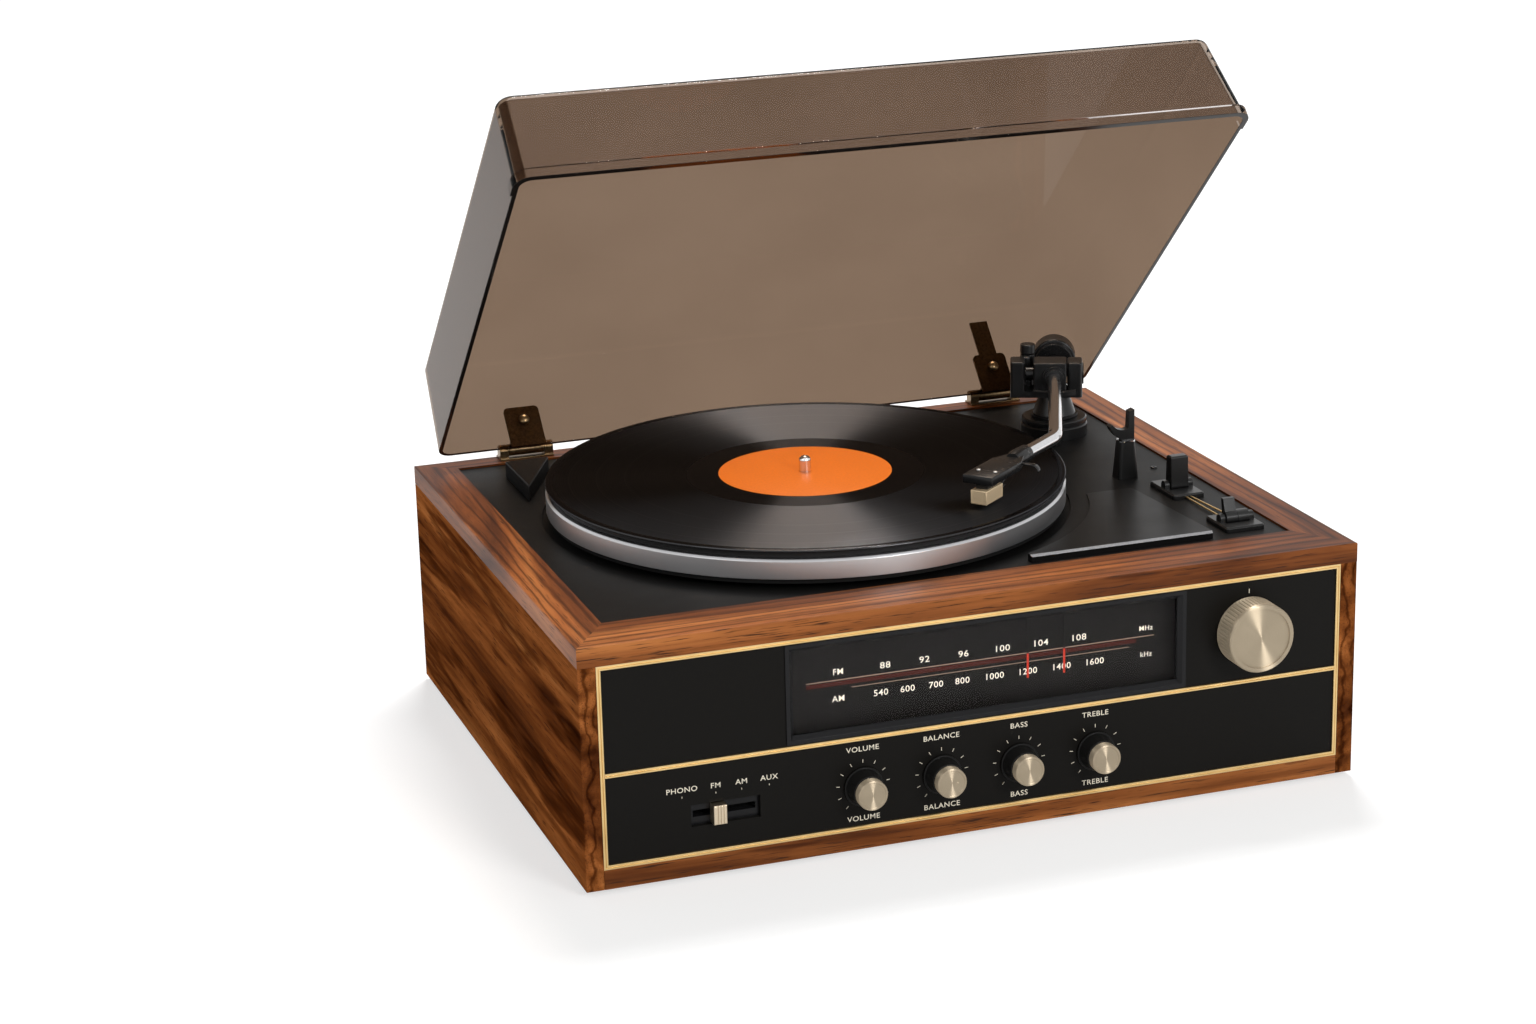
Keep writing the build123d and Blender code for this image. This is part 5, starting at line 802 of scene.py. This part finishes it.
# Tonearm: a turned base and turret in black, a chromed tube bent once, and a weight that screws
# along the rear shaft. The headshell is moulded, with a collar that locks it to the tube.
arm_paint = surface("arm_paint", (0.0080, 0.0080, 0.0082), 0.28, 0.4 * mm, 0.008 * mm, tone=0.15, shine=0.30)
for node in ("arm_base", "arm_yoke", "arm_block", "counterweight", "anti_skate_dial", "lift_bar"):
    eased(node, 0.35 * mm, arm_paint)
arm_pivot = (163.0 * mm, 94.0 * mm, 175.0 * mm)
arm_heading, bend_angle = radians(-113.5), radians(26.5)
tube_start, bend_reach, bend_radius, tube_radius = 12.0 * mm, 143.0 * mm, 30.0 * mm, 4.0 * mm
collar_start, collar_end, shell_end = 38.0 * mm, 55.0 * mm, 98.0 * mm
on_arm = Matrix.Translation(arm_pivot) @ Matrix.Rotation(arm_heading, 4, "Z")
on_shell = on_arm @ Matrix.Translation((bend_reach, 0, 0)) @ Matrix.Rotation(-bend_angle, 4, "Z")
tube_metal = surface("tube_metal", (0.66, 0.66, 0.67), 0.15, 2.0 * mm, 0.002 * mm, metallic=1.0, tone=0.04, spread=0.10)
tube = bmesh.new()
ring = bmesh.ops.create_circle(tube, segments=48, radius=tube_radius, cap_ends=False,
                               matrix=Matrix.Translation((tube_start, 0, 0)) @ Matrix.Rotation(pi / 2, 4, "Y"))["verts"]
bend_start = bend_reach - bend_radius * tan(bend_angle / 2)
offset_way = Vector((cos(bend_angle), -sin(bend_angle), 0))


def run_on(shape, geom, way):
    """The open end of a tube drawn on along a straight way; gives back its new end."""
    made = bmesh.ops.extrude_edge_only(shape, edges=[e for e in geom if isinstance(e, bmesh.types.BMEdge)])["geom"]
    bmesh.ops.translate(shape, verts=[v for v in made if isinstance(v, bmesh.types.BMVert)], vec=way)
    return [item for item in made if not isinstance(item, bmesh.types.BMFace)]


tube_end = run_on(tube, list({edge for vert in ring for edge in vert.link_edges}), (bend_start - tube_start, 0, 0))
tube_end = bmesh.ops.spin(tube, geom=tube_end, cent=(bend_start, -bend_radius, 0), axis=(0, 0, 1),
                          angle=-bend_angle, steps=20)["geom_last"]
run_on(tube, tube_end, offset_way * (collar_start + 2 * mm - bend_radius * tan(bend_angle / 2)))
bmesh.ops.holes_fill(tube, edges=[e for e in tube.edges if e.is_boundary], sides=0)
bmesh.ops.recalc_face_normals(tube, faces=tube.faces)
tube.transform(on_arm)
piece_of("tube_piece", tube, tube_metal, "tonearm", ["arm_tube"])

collar = placed(turned([(0, 0), (4.5 * mm, 0), (5.2 * mm, 0.7 * mm), (5.2 * mm, 4.6 * mm), (4.9 * mm, 5.0 * mm),
                        (4.9 * mm, 5.4 * mm), (5.4 * mm, 5.9 * mm), (5.4 * mm, 12 * mm),
                        (4.4 * mm, collar_end - collar_start), (0, collar_end - collar_start)], 64),
                (collar_start, 0, 0), (1, 0, 0))
shell_half, shell_thick, shell_wide_from = 9.2 * mm, 5.0 * mm, 62.0 * mm
plate = bmesh.new()
outline = [(45 * mm, 4.7 * mm), (51 * mm, 5.0 * mm), (shell_wide_from, shell_half),
           (shell_end - 0.6 * mm, shell_half), (shell_end, -shell_half), (shell_wide_from, -shell_half),
           (51 * mm, -5.0 * mm), (45 * mm, -4.7 * mm)]
under = plate.faces.new([plate.verts.new((x, y, -shell_thick / 2)) for x, y in outline])
raised(plate, [under], (0, 0, shell_thick))
bmesh.ops.recalc_face_normals(plate, faces=plate.faces)
under = min(plate.faces, key=lambda face: face.calc_center_median().z)
bmesh.ops.inset_region(plate, faces=[under], thickness=2.2 * mm)
bmesh.ops.translate(plate, verts=under.verts, vec=(0, 0, 1.6 * mm))
rounded(plate, [e for e in plate.edges if e.calc_face_angle(0) > radians(20)], 0.45 * mm)
lift_tab = bmesh.new()
tab_width, tab_thick, tab_x = 3.4 * mm, 1.0 * mm, 58.0 * mm
tab = lift_tab.faces.new([lift_tab.verts.new((tab_x + x, 7.0 * mm, z)) for x, z in (
    (-tab_width / 2, -tab_thick / 2), (tab_width / 2, -tab_thick / 2), (tab_width / 2, tab_thick / 2),
    (-tab_width / 2, tab_thick / 2))])
for step in ((-0.8, 3.4, 0.1), (-0.9, 3.0, -0.3), (-0.7, 2.0, -0.9), (-0.4, 1.0, -1.4), (-0.1, 0.5, -1.4)):
    tab = raised(lift_tab, [tab], Vector(step) * mm)[0]
bmesh.ops.delete(lift_tab, geom=[f for f in lift_tab.faces if all(len(e.link_faces) > 2 for e in f.edges)],
                 context="FACES_ONLY")
bmesh.ops.recalc_face_normals(lift_tab, faces=lift_tab.faces)
rounded(lift_tab, [e for e in lift_tab.edges if len(e.link_faces) == 2 and e.calc_face_angle(0) > radians(60)],
        0.3 * mm)
for shape in (collar, plate, lift_tab):
    shape.transform(on_shell)
piece_of("headshell_piece", [collar, plate, lift_tab], arm_paint, "tonearm", ["headshell"])
shell_top = shell_thick / 2
screws("shell_screws", "tonearm", zinc, 1.25 * mm, 0.6 * mm,
       [(on_shell @ Vector((shell_end - 11.6 * mm, side * 5.2 * mm, shell_top)), (0, 0, 1)) for side in (-1, 1)])

# Cartridge: a drawn metal shell with a framed face, hung under the headshell on its neck, with the
# stylus and its cantilever below and four sleeves for the leads behind.
cartridge_shell = surface("cartridge_shell", (0.78, 0.60, 0.38), 0.36, 0.4 * mm, 0.006 * mm, metallic=0.35, tone=0.08,
                          shine=0.4)
record_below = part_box("record_disc")[1][2] - arm_pivot[2]
cartridge_low, cartridge_high = record_below + 2.0 * mm, record_below + 10.0 * mm
cartridge_back, cartridge_front = shell_end - 21.5 * mm, shell_end - 1.5 * mm
body = box_shape((cartridge_back, -5 * mm, cartridge_low), (cartridge_front, 5 * mm, cartridge_high))
rounded(body, body.edges[:], 0.35 * mm)
framed = [face for face in body.faces if face.calc_area() > 60 * mm * mm and abs(face.normal.z) < 0.5]
for face in framed:
    bmesh.ops.inset_region(body, faces=[face], thickness=0.7 * mm)
    bmesh.ops.inset_region(body, faces=[face], thickness=0.2 * mm, depth=-0.2 * mm)
body.transform(on_shell)
piece_of("cartridge_piece", body, cartridge_shell, "tonearm", ["cartridge"])
neck = box_shape((cartridge_back + 4 * mm, -3.5 * mm, cartridge_high - 0.1 * mm),
                 (cartridge_front - 4 * mm, 3.5 * mm, 1.6 * mm - shell_thick / 2 + 0.1 * mm))
stylus = turned([(0, record_below + 0.3 * mm), (0.12 * mm, record_below + 0.4 * mm),
                 (0.45 * mm, cartridge_low - 0.5 * mm), (0.45 * mm, cartridge_low + 0.1 * mm),
                 (0, cartridge_low + 0.1 * mm)], 16)
stylus.transform(Matrix.Translation((cartridge_front - 3 * mm, 0, 0)))
cantilever = box_shape((cartridge_front - 10 * mm, -0.4 * mm, cartridge_low - 0.5 * mm),
                       (cartridge_front - 2.6 * mm, 0.4 * mm, cartridge_low + 0.1 * mm))
sleeves = [placed(turned([(0, 0), (0.62 * mm, 0), (0.62 * mm, 4.6 * mm), (0.35 * mm, 5.2 * mm), (0.30 * mm, 8 * mm),
                          (0, 8 * mm)], 16),
                  (cartridge_back + 0.2 * mm, y * mm, cartridge_high - z * mm), (-1, 0, 0.22))
           for y, z in ((-2.4, 2.0), (2.4, 2.0), (-2.4, 5.0), (2.4, 5.0))]
for shape in [neck, stylus, cantilever] + sleeves:
    shape.transform(on_shell)
piece_of("cartridge_fittings", [neck, stylus, cantilever] + sleeves, arm_paint, "tonearm")

# Arm rest and levers: moulded black plastic on plates screwed to the deck, with a bright ring
# pressed on the rest's shoulder and two brass link rods between the levers' plates.
lever_plastic = surface("lever_plastic", (0.0080, 0.0080, 0.0080), 0.30, 0.4 * mm, 0.01 * mm, tone=0.15, shine=0.30)
for node in ("arm_rest", "lever_plates", "cue_lever", "start_lever"):
    eased(node, 0.3 * mm, lever_plastic)
rest_x, rest_y, rest_shoulder_z = 162.5 * mm, -11.0 * mm, 160.0 * mm
band = box_shape((rest_x - 4.95 * mm, rest_y - 4.35 * mm, rest_shoulder_z - 0.6 * mm),
                 (rest_x + 4.95 * mm, rest_y + 4.35 * mm, rest_shoulder_z + 0.1 * mm))
rounded(band, [e for e in band.edges if abs(e.verts[0].co.z - e.verts[1].co.z) > 0.1 * mm], 2.0 * mm, 4)
piece_of("rest_band", band, chrome, "chassis")
rod_radius = 0.55 * mm
rods = []
for start, end in (((175.7, -66.0), (176.7, -108.5)), ((178.6, -66.0), (182.4, -108.5))):
    start, end = (Vector((x * mm, y * mm, deck_top + 2.0 * rod_radius)) for x, y in (start, end))
    length = (end - start).length
    rods.append(placed(turned([(0, 0), (rod_radius, 0), (rod_radius, length), (0, length)], 16), start, end - start))
piece_of("link_rods", rods, brass, "chassis")

# Dust cover: one moulding of smoked acrylic with polished edges, drawn thinner and so paler in its
# front wall, on two brass friction hinges screwed to it and to the case.


def smoked_acrylic(name, pale, deep, shade):
    """Clear acrylic with smoke in it, a little cloudy; lamps shine through it in the given shade."""
    material, tree, shader = new_material(name, 0.0)
    fed(tree, shader, {"Base Color": ramp(tree, clouds(tree, 9.0, 3.0), (0.3, deep), (0.7, pale)),
                       "Transmission Weight": 1.0, "IOR": 1.09})
    clear = put(tree, "BsdfTransparent", {"Color": (*shade, 1)})[0]
    solid = tree.nodes["Principled BSDF"].outputs[0]
    pick = put(tree, "MixShader", {0: put(tree, "LightPath")["Is Shadow Ray"], 1: solid, 2: clear})[0]
    fed(tree, tree.nodes["Material Output"].inputs, {"Surface": pick})
    return material


smoked = smoked_acrylic("smoked_acrylic", (0.182, 0.125, 0.087), (0.162, 0.110, 0.076), (0.76, 0.72, 0.68))
smoked_thin = smoked_acrylic("smoked_thin", (0.72, 0.68, 0.67), (0.66, 0.62, 0.61), (0.90, 0.88, 0.86))
cut_edge = surface("cut_edge", (0.0060, 0.0042, 0.0032), 0.14, 1.5 * mm, 0.002 * mm, tone=0.2, shine=0.3)
cover = eased("lid", 0.35 * mm, [smoked, cut_edge, smoked_thin])
cover_angle = radians(43)
rim_way = Vector((0, -sin(cover_angle), -cos(cover_angle)))
wall_way = Vector((0, -cos(cover_angle), sin(cover_angle)))
rim_reach = max(vert.co.dot(rim_way) for vert in cover.data.vertices)
wall_reach = max(vert.co.dot(wall_way) for vert in cover.data.vertices)
for face in cover.data.polygons:
    if abs(face.normal.dot(wall_way)) > 0.9 and face.center.dot(wall_way) > wall_reach - 20 * mm:
        face.material_index = 2
    if face.normal.dot(rim_way) > 0.6 and face.center.dot(rim_way) > rim_reach - 0.5 * mm:
        face.material_index = 1

hinge_brass = surface("hinge_brass", (0.20, 0.135, 0.070), 0.30, 1.6 * mm, 0.01 * mm, metallic=1.0, tone=0.30)
eased("hinge_leaves", 0.2 * mm, hinge_brass)
eased("hinge_brackets", 0.2 * mm, hinge_brass)
screw_spot = Vector((0, 173.1 * mm, 161.6 * mm))
piece_of("cover_nuts", [placed(turned([(0, 0), (3.4 * mm, 0), (3.4 * mm, 0.5 * mm), (2.9 * mm, 1.5 * mm),
                                       (1.8 * mm, 2.2 * mm), (0, 2.5 * mm)], 32),
                               (side * 155.5 * mm, screw_spot.y, screw_spot.z), wall_way) for side in (-1, 1)],
         hinge_brass, "cover")

# Back and inside: a painted steel panel with its sockets, and the plain forms that stand in for the
# electronics, seen only through the vents.
rear_paint = surface("rear_paint", (0.020, 0.020, 0.021), 0.45, 0.35 * mm, 0.02 * mm, tone=0.2)
eased("rear_panel", 0.2 * mm, rear_paint)
socket_plastic = surface("socket_plastic", (0.013, 0.013, 0.013), 0.35, 0.4 * mm, 0.01 * mm, tone=0.15)
eased("rear_sockets", 0.15 * mm, socket_plastic)
finish_of("transformer", zinc)
board_fibre = surface("board_fibre", (0.16, 0.085, 0.030), 0.55, 0.6 * mm, 0.02 * mm, tone=0.2)
finish_of("main_board", board_fibre)
finish_of("tuning_gang", zinc)
